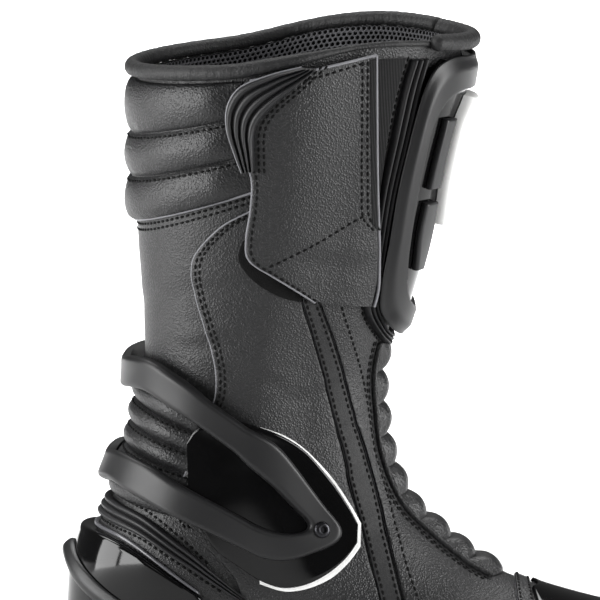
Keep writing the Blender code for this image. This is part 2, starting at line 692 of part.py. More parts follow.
def swollen(rolls, valley, crown, form, u, v):
    """Height of padded rolls side by side along v, lower at their ends along u."""
    power, end_share, end_length = form
    swell = abs(sin(pi * rolls * v)) ** power
    ends = end_share + (1.0 - end_share) * smoothstep(0.0, end_length, min(u, 1.0 - u))
    return (valley + (crown - valley) * swell) * ends


def make_calf_rolls(collection, finish):
    """Three padded rolls across the back of the calf."""
    rolls = len(CALF_SEAMS) - 1

    def place(u, v):
        back, end, x = straight(CALF_SEAMS, v)
        _, edge_angle = at_side(x, end, 1)
        angle = edge_angle * (2.0 * u - 1.0)
        share = share_of(angle) / share_of(edge_angle)
        return at_height(angle, back + (end - back) * share)

    def over(u, v):
        return swollen(rolls, CALF_SEAM_HEIGHT, CALF_ROLL_HEIGHT, CALF_ROLL_FORM, u, v)

    return plate("calf_rolls", finish, collection, place, spread(12), spread(4 * rolls), SEAT_GAP, over)


def make_achilles_rolls(collection, finish):
    """Padded rolls over the tendon, behind the brace's arms."""
    (top, top_end), (foot, foot_end) = ACHILLES_SEAMS

    def place(u, v):
        angle = ACHILLES_END * (2.0 * u - 1.0)
        share = share_of(angle) / share_of(ACHILLES_END)
        high = top + (top_end - top) * share
        low = foot + (foot_end - foot) * share
        return at_height(angle, high + (low - high) * v)

    def over(u, v):
        heights = (ACHILLES_SEAM_HEIGHT, ACHILLES_ROLL_HEIGHT)
        return swollen(ACHILLES_ROLLS, *heights, ACHILLES_ROLL_FORM, u, v)

    rows = spread(3 * ACHILLES_ROLLS)
    return plate("achilles_rolls", finish, collection, place, spread(8), rows, SEAT_GAP, over)


def front_path(top_place, end_place):
    """Rings and running lengths down the front line, from the shin to the vamp."""
    places = [top_place + (end_place - top_place) * share for share in spread(PATH_STEPS)]
    lengths = [0.0]
    for a, b in zip(places, places[1:]):
        lengths.append(lengths[-1] + (skin(b, 180.0) - skin(a, 180.0)).length)
    return places, lengths


def place_along(path, share):
    """Ring at a share of the running length of a front path."""
    places, lengths = path
    goal = share * lengths[-1]
    for i in range(len(places) - 1):
        if lengths[i + 1] >= goal:
            f = (goal - lengths[i]) / (lengths[i + 1] - lengths[i])
            return places[i] + (places[i + 1] - places[i]) * f
    return places[-1]


def flex_path(top):
    """Front path from a height z down to the end of the flex panel."""
    top_place, _ = at_height(180.0, top)
    end_place, _ = at_section(FLEX_END_X, 0.0)
    return front_path(top_place, end_place)


def make_flex_panel(collection, finish):
    """Accordion of cross ribs over the instep, where the boot bends."""
    path = flex_path(FLEX_TOP)

    def place(u, v):
        return place_along(path, v), 180.0 + FLEX_HALF_ANGLE * (1.0 - 2.0 * u)

    def over(u, v):
        rise = FLEX_RIB_HEIGHT - FLEX_VALLEY_HEIGHT
        return FLEX_VALLEY_HEIGHT + swollen(FLEX_RIBS, 0.0, rise, FLEX_RIB_FORM, u, v)

    return plate("front_flex_panel", finish, collection, place, (0.0, 0.2, 0.5, 0.8, 1.0),
                 spread(3 * FLEX_RIBS), SEAT_GAP, over)


def make_instep_piping(collection, finish):
    """Piping along both sides of the flex panel."""
    path = flex_path(FLEX_TOP)
    inner, outer = INSTEP_PIPING_ANGLES
    for name, side in (("instep_piping_lateral", 1.0), ("instep_piping_medial", -1.0)):
        def place(u, v, side=side):
            return place_along(path, v), side * (180.0 - inner - (outer - inner) * u)

        plate(name, finish, collection, place, (0.0, 0.5, 1.0), spread(14), SEAT_GAP,
              crowned(PIPING_HEIGHT, 0.6 * PIPING_HEIGHT, 2.0))


def make_panels(collection, leather, strap_leather, elastic, fuzz):
    """Leather panels, straps, gore and hook patch on the upper."""
    panel_top = SEAT_GAP + PANEL_THICKNESS
    strap_top = SEAT_GAP + STRAP_THICKNESS
    plate("lateral_panel", leather, collection, side_rows(LATERAL_PANEL, 1), spread(6),
          spread(len(LATERAL_PANEL) - 1), SEAT_GAP, panel_top)
    plate("instep_strap_rear", strap_leather, collection, side_rows(INSTEP_STRAP_A, 1), spread(2),
          spread(len(INSTEP_STRAP_A) - 1), SEAT_GAP, strap_top)
    plate("instep_strap_front", leather, collection, side_rows(INSTEP_STRAP_B, 1), spread(2),
          spread(len(INSTEP_STRAP_B) - 1), SEAT_GAP, panel_top)
    plate("stretch_gore", elastic, collection, side_rows(STRETCH_GORE, 1), spread(2), spread(6),
          SEAT_GAP, SEAT_GAP + GORE_THICKNESS)
    patch_foot = panel_top + SEAT_GAP
    plate("hook_patch", fuzz, collection, side_rows(HOOK_PATCH, 1), spread(2),
          spread(len(HOOK_PATCH) - 1), patch_foot, patch_foot + PATCH_THICKNESS)


def make_flap(collection, leather, rubber):
    """Closing flap over the outer side, with its ribbed pull tab."""
    foot = 4.0 * SEAT_GAP + PANEL_THICKNESS + PATCH_THICKNESS
    top = foot + FLAP_THICKNESS
    plate("closing_flap", leather, collection, side_rows(CLOSING_FLAP, 1), spread(8),
          spread(len(CLOSING_FLAP) - 1), foot, top)
    tab_foot = top + SEAT_GAP
    tab_top = tab_foot + TAB_THICKNESS
    plate("flap_pull_tab", rubber, collection, side_rows(PULL_TAB, 1), spread(2 * TAB_RIBS), spread(3),
          tab_foot, ribbed(tab_top, tab_top + TAB_RIB_HEIGHT, TAB_RIBS))


def make_shin_guard(collection, finishes):
    """Shin guard: gasket, plate, frame, pads and insert."""
    def gasket_place(u, v):
        mirrored = abs(2.0 * v - 1.0)
        z0, a0, z1, a1 = straight(SHIN_GASKET, 1.0 - mirrored)
        side = 1.0 if v < 0.5 else -1.0
        angle = a0 + (a1 - a0) * u
        return at_height(180.0 - side * angle, z0 + (z1 - z0) * u)

    gasket_rows = spread(2 * (len(SHIN_GASKET) - 1))
    plate("shin_gasket", finishes["rubber"], collection, gasket_place, spread(2 * GASKET_RIBS), gasket_rows,
          SEAT_GAP, ribbed(GASKET_BASE_HEIGHT, GASKET_RIB_HEIGHT, GASKET_RIBS))

    def plate_place(u, v):
        z, half = straight(SHIN_PLATE, v)
        return at_height(180.0 - half * (1.0 - 2.0 * u), z)

    plate_top = SEAT_GAP + SHIN_PLATE_THICKNESS
    plate("shin_plate", finishes["gloss"], collection, plate_place, spread(8),
          spread(len(SHIN_PLATE) - 1), SEAT_GAP, plate_top)

    def frame_place(u, v):
        turn = 2.0 * v if v < 0.5 else 2.0 - 2.0 * v
        side = 1.0 if v < 0.5 else -1.0
        z0, a0, z1, a1 = straight(SHIN_FRAME, turn)
        return at_height(180.0 - side * (a0 + (a1 - a0) * u), z0 + (z1 - z0) * u)

    frame_foot = plate_top + SEAT_GAP

    def frame_over(u, v):
        rise = SHIN_FRAME_EDGE + (1.0 - SHIN_FRAME_EDGE) * smoothstep(0.0, SHIN_FRAME_BEVEL, u)
        return frame_foot + SHIN_FRAME_THICKNESS * rise

    count = 2 * (len(SHIN_FRAME) - 1)
    plate("shin_frame", finishes["satin"], collection, frame_place, (0.0, 0.25, 0.6, 1.0),
          [i / count for i in range(count)], frame_foot, frame_over, loop=True)

    def insert_place(u, v):
        z, half = straight(SHIN_INSERT, v)
        return at_height(180.0 - half * (1.0 - 2.0 * u), z)

    plate("shin_insert", finishes["white"], collection, insert_place, spread(4),
          spread(len(SHIN_INSERT) - 1), frame_foot, frame_foot + SHIN_INSERT_THICKNESS)

    for table, level in ((SHIN_PAD_UPPER, "upper"), (SHIN_PAD_LOWER, "lower")):
        for side, word in ((1.0, "lateral"), (-1.0, "medial")):
            def pad_place(u, v, table=table, side=side):
                z, a0, a1 = straight(table, v)
                return at_height(180.0 - side * (a0 + (a1 - a0) * u), z)

            plate(f"shin_pad_{level}_{word}", finishes["pad"], collection, pad_place,
                  (0.0, 0.2, 0.8, 1.0), spread(4), frame_foot,
                  crowned(frame_foot + SHIN_PAD_THICKNESS, 0.3 * SHIN_PAD_THICKNESS, 5.0))


def make_brace(collection, finishes):
    """Ankle brace with its seat plates, white edges and pivot screws."""
    brace_foot = PANEL_THICKNESS + BRACE_EDGE_THICKNESS + BRACE_BASE_THICKNESS + 4.0 * SEAT_GAP
    brace_top = brace_foot + BRACE_THICKNESS

    def plate_rows(table, side):
        def place(u, v):
            x, high, low = straight(table, v)
            return at_side(x, high + (low - high) * u, side)
        return place

    def brace_place(u, v):
        turn = 2.0 * v if v < 0.5 else 2.0 - 2.0 * v
        side = 1.0 if v < 0.5 else -1.0
        a0, z0, a1, z1 = straight(ANKLE_BRACE, turn)
        return at_height(side * (a0 + (a1 - a0) * u), z0 + (z1 - z0) * u)

    count = 2 * (len(ANKLE_BRACE) - 1)
    plate("ankle_brace", finishes["satin"], collection, brace_place, (0.0, 0.2, 0.8, 1.0),
          [i / count for i in range(count)], brace_foot,
          crowned(brace_top, BRACE_EDGE_DROP, 5.5), loop=True)

    for side, word, panel in ((1, "lateral", PANEL_THICKNESS + SEAT_GAP), (-1, "medial", 0.0)):
        edge_foot = SEAT_GAP + panel
        edge_top = edge_foot + BRACE_EDGE_THICKNESS
        plate(f"brace_edge_{word}", finishes["white"], collection, plate_rows(BRACE_EDGE, side), spread(5),
              spread(len(BRACE_EDGE) - 1), edge_foot, edge_top)
        plate(f"brace_base_{word}", finishes["gloss"], collection, plate_rows(BRACE_BASE, side), spread(6),
              spread(len(BRACE_BASE) - 1), edge_top + SEAT_GAP, brace_foot - SEAT_GAP)
        where = at_side(*SCREW_PLACE, side)
        make_screw(f"brace_screw_{word}", finishes["screw"], collection, where, brace_top)


def make_screw(name, finish, collection, where, seat):
    """Round screw head with a hexagon socket, standing on the brace."""
    normal = outward(*where)
    foot = proud(*where, seat + 2.0 * SEAT_GAP) - Vector((HEEL_CENTRE, 0.0, 0.0))
    turn = normal.to_track_quat("Z", "Y")
    bpy.ops.mesh.primitive_cylinder_add(vertices=20, radius=SCREW_RADIUS, depth=SCREW_HEIGHT)
    head = bpy.context.object
    head.name = name
    head.data.name = name
    head.data.materials.append(finish)
    head.rotation_euler = turn.to_euler()
    head.location = foot + normal * (0.5 * SCREW_HEIGHT)
    for user in list(head.users_collection):
        user.objects.unlink(head)
    collection.objects.link(head)
    depth = 2.0 * SCREW_SOCKET_DEPTH
    bpy.ops.mesh.primitive_cylinder_add(vertices=6, radius=SCREW_SOCKET_RADIUS, depth=depth)
    socket = bpy.context.object
    socket.name = f"{name}_socket"
    socket.rotation_euler = turn.to_euler()
    socket.location = foot + normal * SCREW_HEIGHT
    socket.hide_render = True
    socket.display_type = "WIRE"
    cutters = bpy.data.collections["cutters"]
    for user in list(socket.users_collection):
        user.objects.unlink(socket)
    cutters.objects.link(socket)
    cut = head.modifiers.new("socket", "BOOLEAN")
    cut.operation = "DIFFERENCE"
    cut.solver = "EXACT"
    cut.object = socket
    return head


def counter_top(angle, ends):
    """Height of the counter's top edge at an angle, in z units."""
    return COUNTER_TOP + (COUNTER_TOP_END - COUNTER_TOP) * min(abs(angle) / ends, 1.0) ** COUNTER_SWEEP


def make_heel(collection, finishes):
    """Heel counter with its spur, trim bead and the piping above it."""
    top_ends, foot_ends = COUNTER_ANGLES

    def counter_place(u, v):
        ends = top_ends + (foot_ends - top_ends) * v
        angle = ends * (2.0 * u - 1.0)
        high = counter_top(angle, ends)
        return at_height(angle, high + (COUNTER_FOOT - high) * v)

    def counter_height(angle, z):
        """Outer face of the counter: thickest at the back, near its top."""
        back = max(cos(radians(COUNTER_NARROWING * angle)), 0.0) ** 2
        share = (z - COUNTER_FOOT) / (COUNTER_TOP - COUNTER_FOOT)
        return SEAT_GAP + COUNTER_THICKNESS + COUNTER_SWELL * back * smoothstep(*COUNTER_RISE, share)

    def counter_over(u, v):
        ends = top_ends + (foot_ends - top_ends) * v
        angle = ends * (2.0 * u - 1.0)
        high = counter_top(angle, ends)
        return counter_height(angle, high + (COUNTER_FOOT - high) * v)

    plate("heel_counter", finishes["gloss"], collection, counter_place, spread(16), spread(5), SEAT_GAP,
          counter_over)

    def trim_place(u, v):
        angle = top_ends * (2.0 * v - 1.0)
        low, high = TRIM_RISE
        return at_height(angle, counter_top(angle, top_ends) + low + (high - low) * u)

    plate("heel_trim", finishes["trim"], collection, trim_place, (0.0, 1.0), spread(18), SEAT_GAP,
          SEAT_GAP + TRIM_HEIGHT)

    rows = 3 * (len(HEEL_SPUR) - 1)

    def spur_row(v):
        return straight(HEEL_SPUR, abs(2.0 * v - 1.0))

    def spur_place(u, v):
        angle, high, low, _ = spur_row(v)
        side = -1.0 if v < 0.5 else 1.0
        return at_height(side * angle, high + (low - high) * u)

    def spur_under(u, v):
        angle, high, low, _ = spur_row(v)
        return counter_height(angle, high + (low - high) * u) + SEAT_GAP

    def spur_over(u, v):
        share = spur_row(v)[3]
        crown = SPUR_EDGE + (1.0 - SPUR_EDGE) * sin(pi * u)
        return spur_under(u, v) + SPUR_THICKNESS * share * crown

    plate("heel_spur", finishes["satin"], collection, spur_place, spread(4), spread(rows),
          spur_under, spur_over)

    def piping_place(u, v):
        angle, high, low = straight(HEEL_PIPING, abs(2.0 * v - 1.0))
        side = -1.0 if v < 0.5 else 1.0
        return at_height(side * angle, high + (low - high) * u)

    plate("heel_piping", finishes["rubber"], collection, piping_place, spread(2 * HEEL_PIPING_RIBS),
          spread(14), SEAT_GAP, ribbed(HEEL_PIPING_BASE, HEEL_PIPING_HEIGHT, HEEL_PIPING_RIBS))


def make_toe(collection, finishes):
    """Glossy toe cap and the stitched band behind it."""
    def cap_place(u, v):
        place, edge = straight(TOE_CAP, v)
        bx, _, fx, _, _, _, _, _ = ring(place)
        share = min(max((edge * X_UNIT - bx) / (fx - bx), 0.0), 1.0)
        start = degrees(acos(1.0 - 2.0 * share))
        return place, start + (360.0 - 2.0 * start) * u

    plate("toe_cap", finishes["gloss"], collection, cap_place, spread(14), spread(9), SEAT_GAP,
          SEAT_GAP + TOE_CAP_THICKNESS)

    def band_place(u, v):
        turn = VAMP_BAND_REACH * (2.0 * v - 1.0)
        rear = VAMP_BAND_X[0] + (VAMP_BAND_FOOT[0] - VAMP_BAND_X[0]) * turn * turn
        fore = VAMP_BAND_X[1] + (VAMP_BAND_FOOT[1] - VAMP_BAND_X[1]) * turn * turn
        return at_section(rear + (fore - rear) * u, turn)

    plate("vamp_band", finishes["leather"], collection, band_place, (0.0, 1.0), spread(18), SEAT_GAP,
          SEAT_GAP + VAMP_BAND_THICKNESS)


def main():
    for old in list(bpy.data.objects):
        bpy.data.objects.remove(old, do_unlink=True)
    boot = bpy.data.collections.new("motorcycle_boot")
    cutters = bpy.data.collections.new("cutters")
    bpy.context.scene.collection.children.link(boot)
    bpy.context.scene.collection.children.link(cutters)

    finishes = {
        "leather": material("pebbled_leather", (0.030, 0.030, 0.031), 0.50),
        "strap": material("matt_leather", (0.016, 0.016, 0.017), 0.65),
        "padded": material("padded_leather", (0.028, 0.028, 0.029), 0.52),
        "elastic": material("woven_elastic", (0.012, 0.012, 0.012), 0.90),
        "fuzz": material("hook_tape", (0.006, 0.006, 0.006), 1.00),
        "rubber": material("soft_rubber", (0.014, 0.014, 0.014), 0.60),
        "tread": material("tread_rubber", (0.018, 0.018, 0.018), 0.75),
        "board": material("insole_foam", (0.022, 0.022, 0.022), 0.95),
        "satin": material("satin_polymer", (0.032, 0.032, 0.033), 0.40),
        "gloss": material("gloss_polymer", (0.006, 0.006, 0.007), 0.10),
        "pad": material("pad_polymer", (0.018, 0.018, 0.019), 0.45),
        "white": material("white_polymer", (0.800, 0.800, 0.800), 0.35),
        "trim": material("trim_polymer", (0.060, 0.060, 0.062), 0.25),
        "screw": material("black_steel", (0.050, 0.050, 0.052), 0.35, 1.0),
    }
    make_outsole(boot, finishes["tread"])
    make_insole(boot, finishes["board"])
    make_upper(boot, finishes["leather"])
    front = 180.0 - FRONT_ROLL_HALF_ANGLE
    collar_roll("collar_binding", finishes["padded"], boot, -front, front, 28, COLLAR_ROLL_RADIUS,
                COLLAR_ROLL_LEAN)
    collar_roll("collar_front_roll", finishes["padded"], boot, front + COLLAR_JOINT_ANGLE,
                360.0 - front - COLLAR_JOINT_ANGLE, 8, FRONT_ROLL_RADIUS, FRONT_ROLL_LEAN)
    make_calf_rolls(boot, finishes["padded"])
    make_achilles_rolls(boot, finishes["padded"])
    make_flex_panel(boot, finishes["padded"])
    make_instep_piping(boot, finishes["leather"])
    make_panels(boot, finishes["leather"], finishes["strap"], finishes["elastic"], finishes["fuzz"])
    make_flap(boot, finishes["leather"], finishes["rubber"])
    make_shin_guard(boot, finishes)
    make_brace(boot, finishes)
    make_heel(boot, finishes)
    make_toe(boot, finishes)


main()
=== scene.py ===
"""Looks of a road-racing motorcycle boot, right foot: leathers, padding, plastics, rubber and seams.

Tables are in millimetres and degrees.  x runs from the back of the heel, z from the floor, and
angles run round the boot: 0 at the back, 90 at the outer side, 180 at the front, negative on
the inner side.
"""

from math import cos, pi, radians, sin

import bmesh
import bpy
import numpy as np
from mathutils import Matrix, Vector


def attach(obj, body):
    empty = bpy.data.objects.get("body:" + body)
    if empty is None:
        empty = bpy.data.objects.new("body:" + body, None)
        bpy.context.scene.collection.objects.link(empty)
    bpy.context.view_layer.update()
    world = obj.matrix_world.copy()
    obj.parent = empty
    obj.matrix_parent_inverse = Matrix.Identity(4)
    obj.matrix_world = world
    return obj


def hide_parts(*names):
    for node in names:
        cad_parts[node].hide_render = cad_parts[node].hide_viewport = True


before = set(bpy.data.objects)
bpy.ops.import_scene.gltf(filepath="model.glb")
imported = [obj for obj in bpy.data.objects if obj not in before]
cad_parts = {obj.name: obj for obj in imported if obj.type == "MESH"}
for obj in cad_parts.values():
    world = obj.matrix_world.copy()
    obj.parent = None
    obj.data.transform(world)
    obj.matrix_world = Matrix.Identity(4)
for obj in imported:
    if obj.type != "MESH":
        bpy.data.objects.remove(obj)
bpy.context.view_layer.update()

MM = 0.001
HEEL_CENTRE = 44.0

# Thicknesses of the pieces over the leather, in mm
STRAP_THICKNESS = 1.8
GORE_THICKNESS = 1.0
HOOK_THICKNESS = 0.8
PIPING_TOP = 2.2
INSERT_THICKNESS = 5.4
BEAD_THICKNESS = 1.8
CAP_THICKNESS = 2.0
BAND_THICKNESS = 1.4
GUARD_FRAME_THICKNESS = 3.2
GUARD_PAD_THICKNESS = 2.8
BRACE_THICKNESS = 3.4
BRACE_CROWN = 0.9
WHITE_EDGE_THICKNESS = 1.0
# Ribbed rubber: height of its valleys and ribs, and how many ribs
TAB_RIBBING = (0.7, 3.4, 4)
GASKET_RIBBING = (1.4, 3.7, 3)
HEEL_RIBBING = (1.2, 3.3, 3)
# x where the collar's binding starts to narrow and where it ends, and its least radius
BINDING_NARROWING = (84.0, 128.0, 1.4)
# Stitch: its lift off the leather, its pitch, length, width and height
THREAD_LIFT = 0.05
STITCH_PITCH = 3.0
STITCH_LENGTH = 2.2
STITCH_WIDTH = 1.20
STITCH_HEIGHT = 0.80
# Spacer mesh in the collar: pitch of its cells, depth of its front face and its thickness
LINING_PITCH = 2.3
LINING_DEPTH = 2.5
LINING_THICKNESS = 0.9
# x and z along the flap's bound edges
FLAP_TOP_EDGE = ((83.0, 306.6), (108.0, 311.4), (134.5, 316.4))
FLAP_FRONT_EDGE = (
    (134.6, 316.3), (134.6, 290.0), (134.6, 262.0), (135.0, 236.0), (134.6, 216.0), (132.5, 206.0),
)
# Rise of the tread under the toe and the arch, and how sharply each one curves
TREAD_TOE_RISE = 12.0
TREAD_TOE_POWER = 1.7
TREAD_ARCH_RISE = 10.0
TREAD_ARCH_POWER = 1.5
LUG_FLANK = 1.5

SEAT = 0.3
STATIONS = (0.12, 0.45, 0.72)

# back_x, back_z, front_x, front_z, rear, middle, fore, roundness, ball_drop, toe_turn
LAST_RINGS = np.array((
    (13.0, 27.0, 292.0, 24.0, 30.0, 31.0, 44.5, 3.00, 12.0, 7.0),
    (9.0, 40.0, 296.0, 38.0, 33.5, 35.0, 47.5, 2.90, 9.0, 7.0),
    (8.0, 54.0, 288.0, 52.0, 34.5, 36.5, 47.0, 2.70, 6.0, 7.0),
    (7.5, 66.0, 264.0, 62.0, 35.0, 37.5, 43.5, 2.40, 3.0, 6.0),
    (8.5, 76.0, 233.0, 69.0, 35.0, 38.5, 38.0, 2.20, 1.0, 4.0),
    (9.8, 86.0, 205.0, 77.5, 35.0, 39.5, 34.5, 2.10, 0.0, 3.0),
    (12.5, 97.0, 183.0, 88.0, 34.5, 40.5, 34.0, 2.10, 0.0, 2.0),
    (17.5, 109.0, 165.5, 101.5, 33.5, 41.5, 33.5, 2.10, 0.0, 1.0),
    (24.0, 122.0, 151.0, 116.0, 32.0, 41.5, 33.0, 2.10, 0.0, 0.0),
    (29.5, 137.0, 142.0, 136.0, 30.5, 40.5, 32.5, 2.10, 0.0, 0.0),
    (33.0, 152.0, 138.8, 156.0, 29.5, 40.0, 32.0, 2.10, 0.0, 0.0),
    (35.8, 172.0, 138.5, 178.0, 30.0, 41.5, 33.5, 2.10, 0.0, 0.0),
    (35.5, 200.0, 147.0, 206.0, 32.0, 45.0, 36.5, 2.10, 0.0, 0.0),
    (33.2, 232.0, 157.0, 240.0, 35.0, 50.0, 40.5, 2.10, 0.0, 0.0),
    (32.8, 268.0, 167.0, 279.0, 38.0, 55.0, 44.0, 2.10, 0.0, 0.0),
    (33.0, 303.0, 174.0, 315.0, 40.0, 58.0, 46.0, 2.10, -7.0, 0.0),
))
TOP_RING = len(LAST_RINGS) - 1.0

# Outlines on a side, row by row: x and z of one edge, then of the other
LATERAL_PANEL = (
    (82.0, 249.0, 108.0, 249.0), (70.0, 242.0, 107.0, 242.0), (59.5, 230.0, 106.0, 230.0),
    (57.5, 221.0, 104.5, 219.0), (59.0, 211.0, 104.0, 207.0), (63.0, 197.0, 107.5, 195.0),
    (67.0, 181.0, 112.0, 179.0), (67.0, 167.0, 115.0, 166.0), (62.0, 155.0, 118.0, 153.0),
    (57.0, 140.0, 121.5, 139.0), (52.0, 127.0, 124.0, 126.0), (49.0, 117.0, 127.5, 115.0),
    (53.0, 109.0, 130.0, 107.0), (62.0, 102.5, 131.5, 100.0), (69.5, 95.0, 133.5, 92.0),
    (76.0, 86.0, 136.0, 84.0), (79.0, 74.0, 138.5, 74.0), (83.0, 60.0, 142.0, 60.0),
    (87.0, 45.0, 146.5, 45.0), (92.0, 33.0, 150.5, 33.0),
)
INSTEP_STRAP_A = (
    (103.0, 212.0, 109.5, 211.0),
    (105.0, 206.0, 111.5, 206.0), (108.5, 194.0, 115.5, 195.0), (113.0, 177.0, 120.0, 179.0),
    (117.0, 159.0, 124.5, 160.0), (122.0, 141.0, 130.0, 140.0), (125.5, 124.0, 134.5, 125.0),
    (130.5, 107.0, 139.0, 107.0), (134.5, 92.0, 143.0, 92.0), (138.5, 77.0, 147.0, 77.0),
    (143.5, 58.0, 152.0, 58.0), (151.5, 33.0, 160.0, 33.0),
)
INSTEP_STRAP_B = (
    (111.5, 210.0, 121.5, 207.5),
    (113.5, 203.0, 123.0, 201.5), (117.5, 192.0, 126.0, 191.0), (122.0, 175.0, 130.0, 174.0),
    (126.0, 158.0, 132.8, 157.0), (131.5, 140.0, 135.4, 140.0), (136.0, 124.0, 140.0, 124.0),
    (140.5, 107.0, 145.5, 107.0), (144.5, 92.0, 150.0, 92.0), (148.5, 77.0, 155.5, 77.0),
    (153.5, 58.0, 162.0, 58.0), (161.5, 33.0, 171.0, 33.0),
)
CLOSING_FLAP = (
    (84.0, 307.0, 134.0, 316.3), (76.0, 296.0, 134.0, 303.0), (76.0, 283.0, 134.0, 285.0),
    (83.0, 266.0, 134.0, 266.0), (83.0, 252.0, 134.0, 250.0), (81.0, 238.0, 134.5, 238.0),
    (82.0, 229.0, 134.5, 228.0), (91.0, 222.0, 134.0, 218.0), (108.0, 209.5, 131.5, 206.0),
)
FLAP_WEBBING = ((131.6, 314.6, 134.3, 315.4), (131.8, 280.0, 134.2, 280.0), (132.0, 243.0, 134.3, 240.0))
PULL_TAB = (
    (103.0, 312.8, 108.5, 312.2), (91.0, 309.2, 99.0, 302.5), (79.8, 304.0, 91.0, 294.5),
    (74.6, 296.0, 86.5, 288.5), (74.0, 286.0, 84.8, 282.5), (77.0, 275.0, 84.8, 275.0),
    (79.8, 267.0, 84.8, 268.0),
)
STRETCH_GORE = (
    (136.0, 314.0, 148.8, 314.0), (136.0, 290.0, 142.6, 290.0), (136.0, 263.0, 138.5, 263.0),
    (136.0, 252.0, 137.0, 252.0),
)
HOOK_PATCH = (
    (79.0, 236.0, 84.0, 240.0), (77.5, 228.0, 87.0, 233.0), (83.0, 219.5, 93.0, 226.0),
    (94.0, 212.0, 101.0, 219.0), (103.0, 209.0, 106.0, 216.0),
)
# x, then z of the upper and of the lower edge
BRACE_BASE = (
    (56.5, 147.0, 129.0), (60.0, 153.0, 114.0), (66.0, 156.0, 102.0), (76.0, 157.0, 94.0),
    (86.0, 154.0, 87.5), (96.0, 149.0, 84.5), (106.0, 141.0, 85.5), (115.0, 130.0, 89.5),
    (122.0, 119.0, 95.0), (127.0, 109.5, 101.5),
)
BRACE_EDGE = (
    (86.0, 154.0, 85.5), (96.0, 149.8, 82.5), (106.0, 142.2, 83.2), (116.0, 131.0, 87.0),
    (123.5, 119.5, 93.0), (129.0, 109.8, 100.0),
)
SCREW_PLACE = (110.0, 108.0)
# angle and z of the outer edge, angle and z of the inner edge
ANKLE_BRACE = (
    (0.0, 179.5, 0.0, 165.0), (18.0, 181.5, 18.0, 167.0), (36.0, 181.5, 35.0, 167.0),
    (55.0, 174.0, 53.0, 160.0), (67.0, 166.0, 62.5, 155.0), (79.0, 158.5, 72.0, 148.5),
    (88.0, 152.5, 81.0, 142.0), (96.5, 146.0, 88.5, 134.0), (105.0, 134.0, 94.5, 127.0),
    (112.5, 119.0, 101.0, 116.5), (115.0, 109.5, 103.0, 111.5), (110.5, 103.0, 101.5, 108.5),
    (101.0, 99.0, 96.5, 107.5), (89.0, 97.0, 90.0, 109.5), (78.0, 103.0, 81.5, 115.5),
    (65.0, 110.5, 70.0, 122.0), (53.0, 115.5, 57.0, 128.5), (40.0, 120.5, 42.0, 135.0),
    (20.0, 124.5, 20.0, 138.0), (0.0, 122.5, 0.0, 135.5),
)
# z and degrees off the front line, of the outer and of the inner edge
SHIN_FRAME = (
    (313.0, 0.0, 299.0, 0.0), (313.5, 18.0, 299.0, 12.0), (313.0, 31.0, 298.5, 24.0),
    (307.0, 39.5, 293.5, 32.0), (290.0, 44.0, 283.0, 36.5), (262.0, 46.0, 262.0, 37.0),
    (235.0, 44.0, 238.0, 34.5), (215.0, 42.0, 222.0, 30.5), (203.0, 37.5, 210.0, 22.5),
    (194.5, 22.0, 204.5, 10.0), (191.0, 0.0, 202.5, 0.0),
)
SHIN_GASKET = (
    (313.0, 47.0, 313.0, 39.0), (295.0, 50.0, 295.0, 41.5), (262.0, 51.5, 262.0, 43.7),
    (237.0, 49.5, 237.0, 42.3), (214.0, 46.0, 214.0, 39.5), (201.5, 42.5, 204.5, 36.0),
    (191.5, 28.0, 196.0, 25.5), (186.5, 13.0, 191.5, 12.0), (185.0, 0.0, 190.0, 0.0),
)
SHIN_PLATE = (
    (312.0, 30.0), (305.0, 37.0), (290.0, 40.5), (262.0, 42.3), (235.0, 40.8), (215.0, 38.0),
    (204.5, 32.5), (196.0, 17.0),
)
SHIN_INSERT = (
    (295.5, 11.5), (288.0, 17.5), (280.0, 20.0), (262.0, 19.5), (250.0, 16.0), (240.0, 11.0),
)
SHIN_PAD_UPPER = ((287.0, 20.5, 28.5), (272.0, 22.3, 29.8), (257.0, 21.0, 29.8))
SHIN_PAD_LOWER = ((251.0, 19.5, 29.2), (236.0, 15.5, 27.8), (221.0, 14.0, 22.5))
# z at the back and at the rolls' end, x of that end
CALF_SEAMS = ((301.0, 305.5, 79.0), (278.0, 290.0, 80.0), (259.0, 273.5, 82.0), (240.0, 258.0, 85.0))
ACHILLES_SEAMS = ((171.0, 160.0), (119.5, 113.0))
ACHILLES_END = 61.0
ACHILLES_ROLLS = 5
FLEX_RIBS = 9
# angle, z of the top and bottom edge, share of the spur's full height
HEEL_SPUR = (
    (0.0, 96.0, 88.0, 1.0), (14.0, 91.0, 82.0, 0.75), (32.0, 80.0, 69.5, 0.40),
    (46.0, 67.0, 56.0, 0.30), (58.0, 54.0, 43.0, 0.22),
)
HEEL_PIPING = (
    (0.0, 117.5, 109.0), (20.0, 117.0, 108.5), (42.0, 113.0, 104.5), (58.0, 103.0, 94.0),
    (67.0, 91.5, 82.5),
)
# The ribs run out down the front of the counter
HEEL_PIPING_FEET = ((72.0, 78.0, 70.0), (74.5, 62.0, 57.0))
# ring, x of the cap's rear edge
TOE_CAP = (
    (4.92, 204.5), (4.40, 206.5), (3.70, 208.5), (2.90, 211.0), (2.00, 213.5), (1.10, 216.0),
    (0.30, 218.0),
)
HEEL_LUGS = ((16.0, 30.0), (35.0, 53.0), (58.0, 74.0))
FOREFOOT_LUGS = ((150.0, 164.0), (169.0, 183.0), (188.0, 202.0), (207.0, 221.0), (226.0, 238.0))
HEEL_BREAST = 80.0
ARCH_END = 138.0

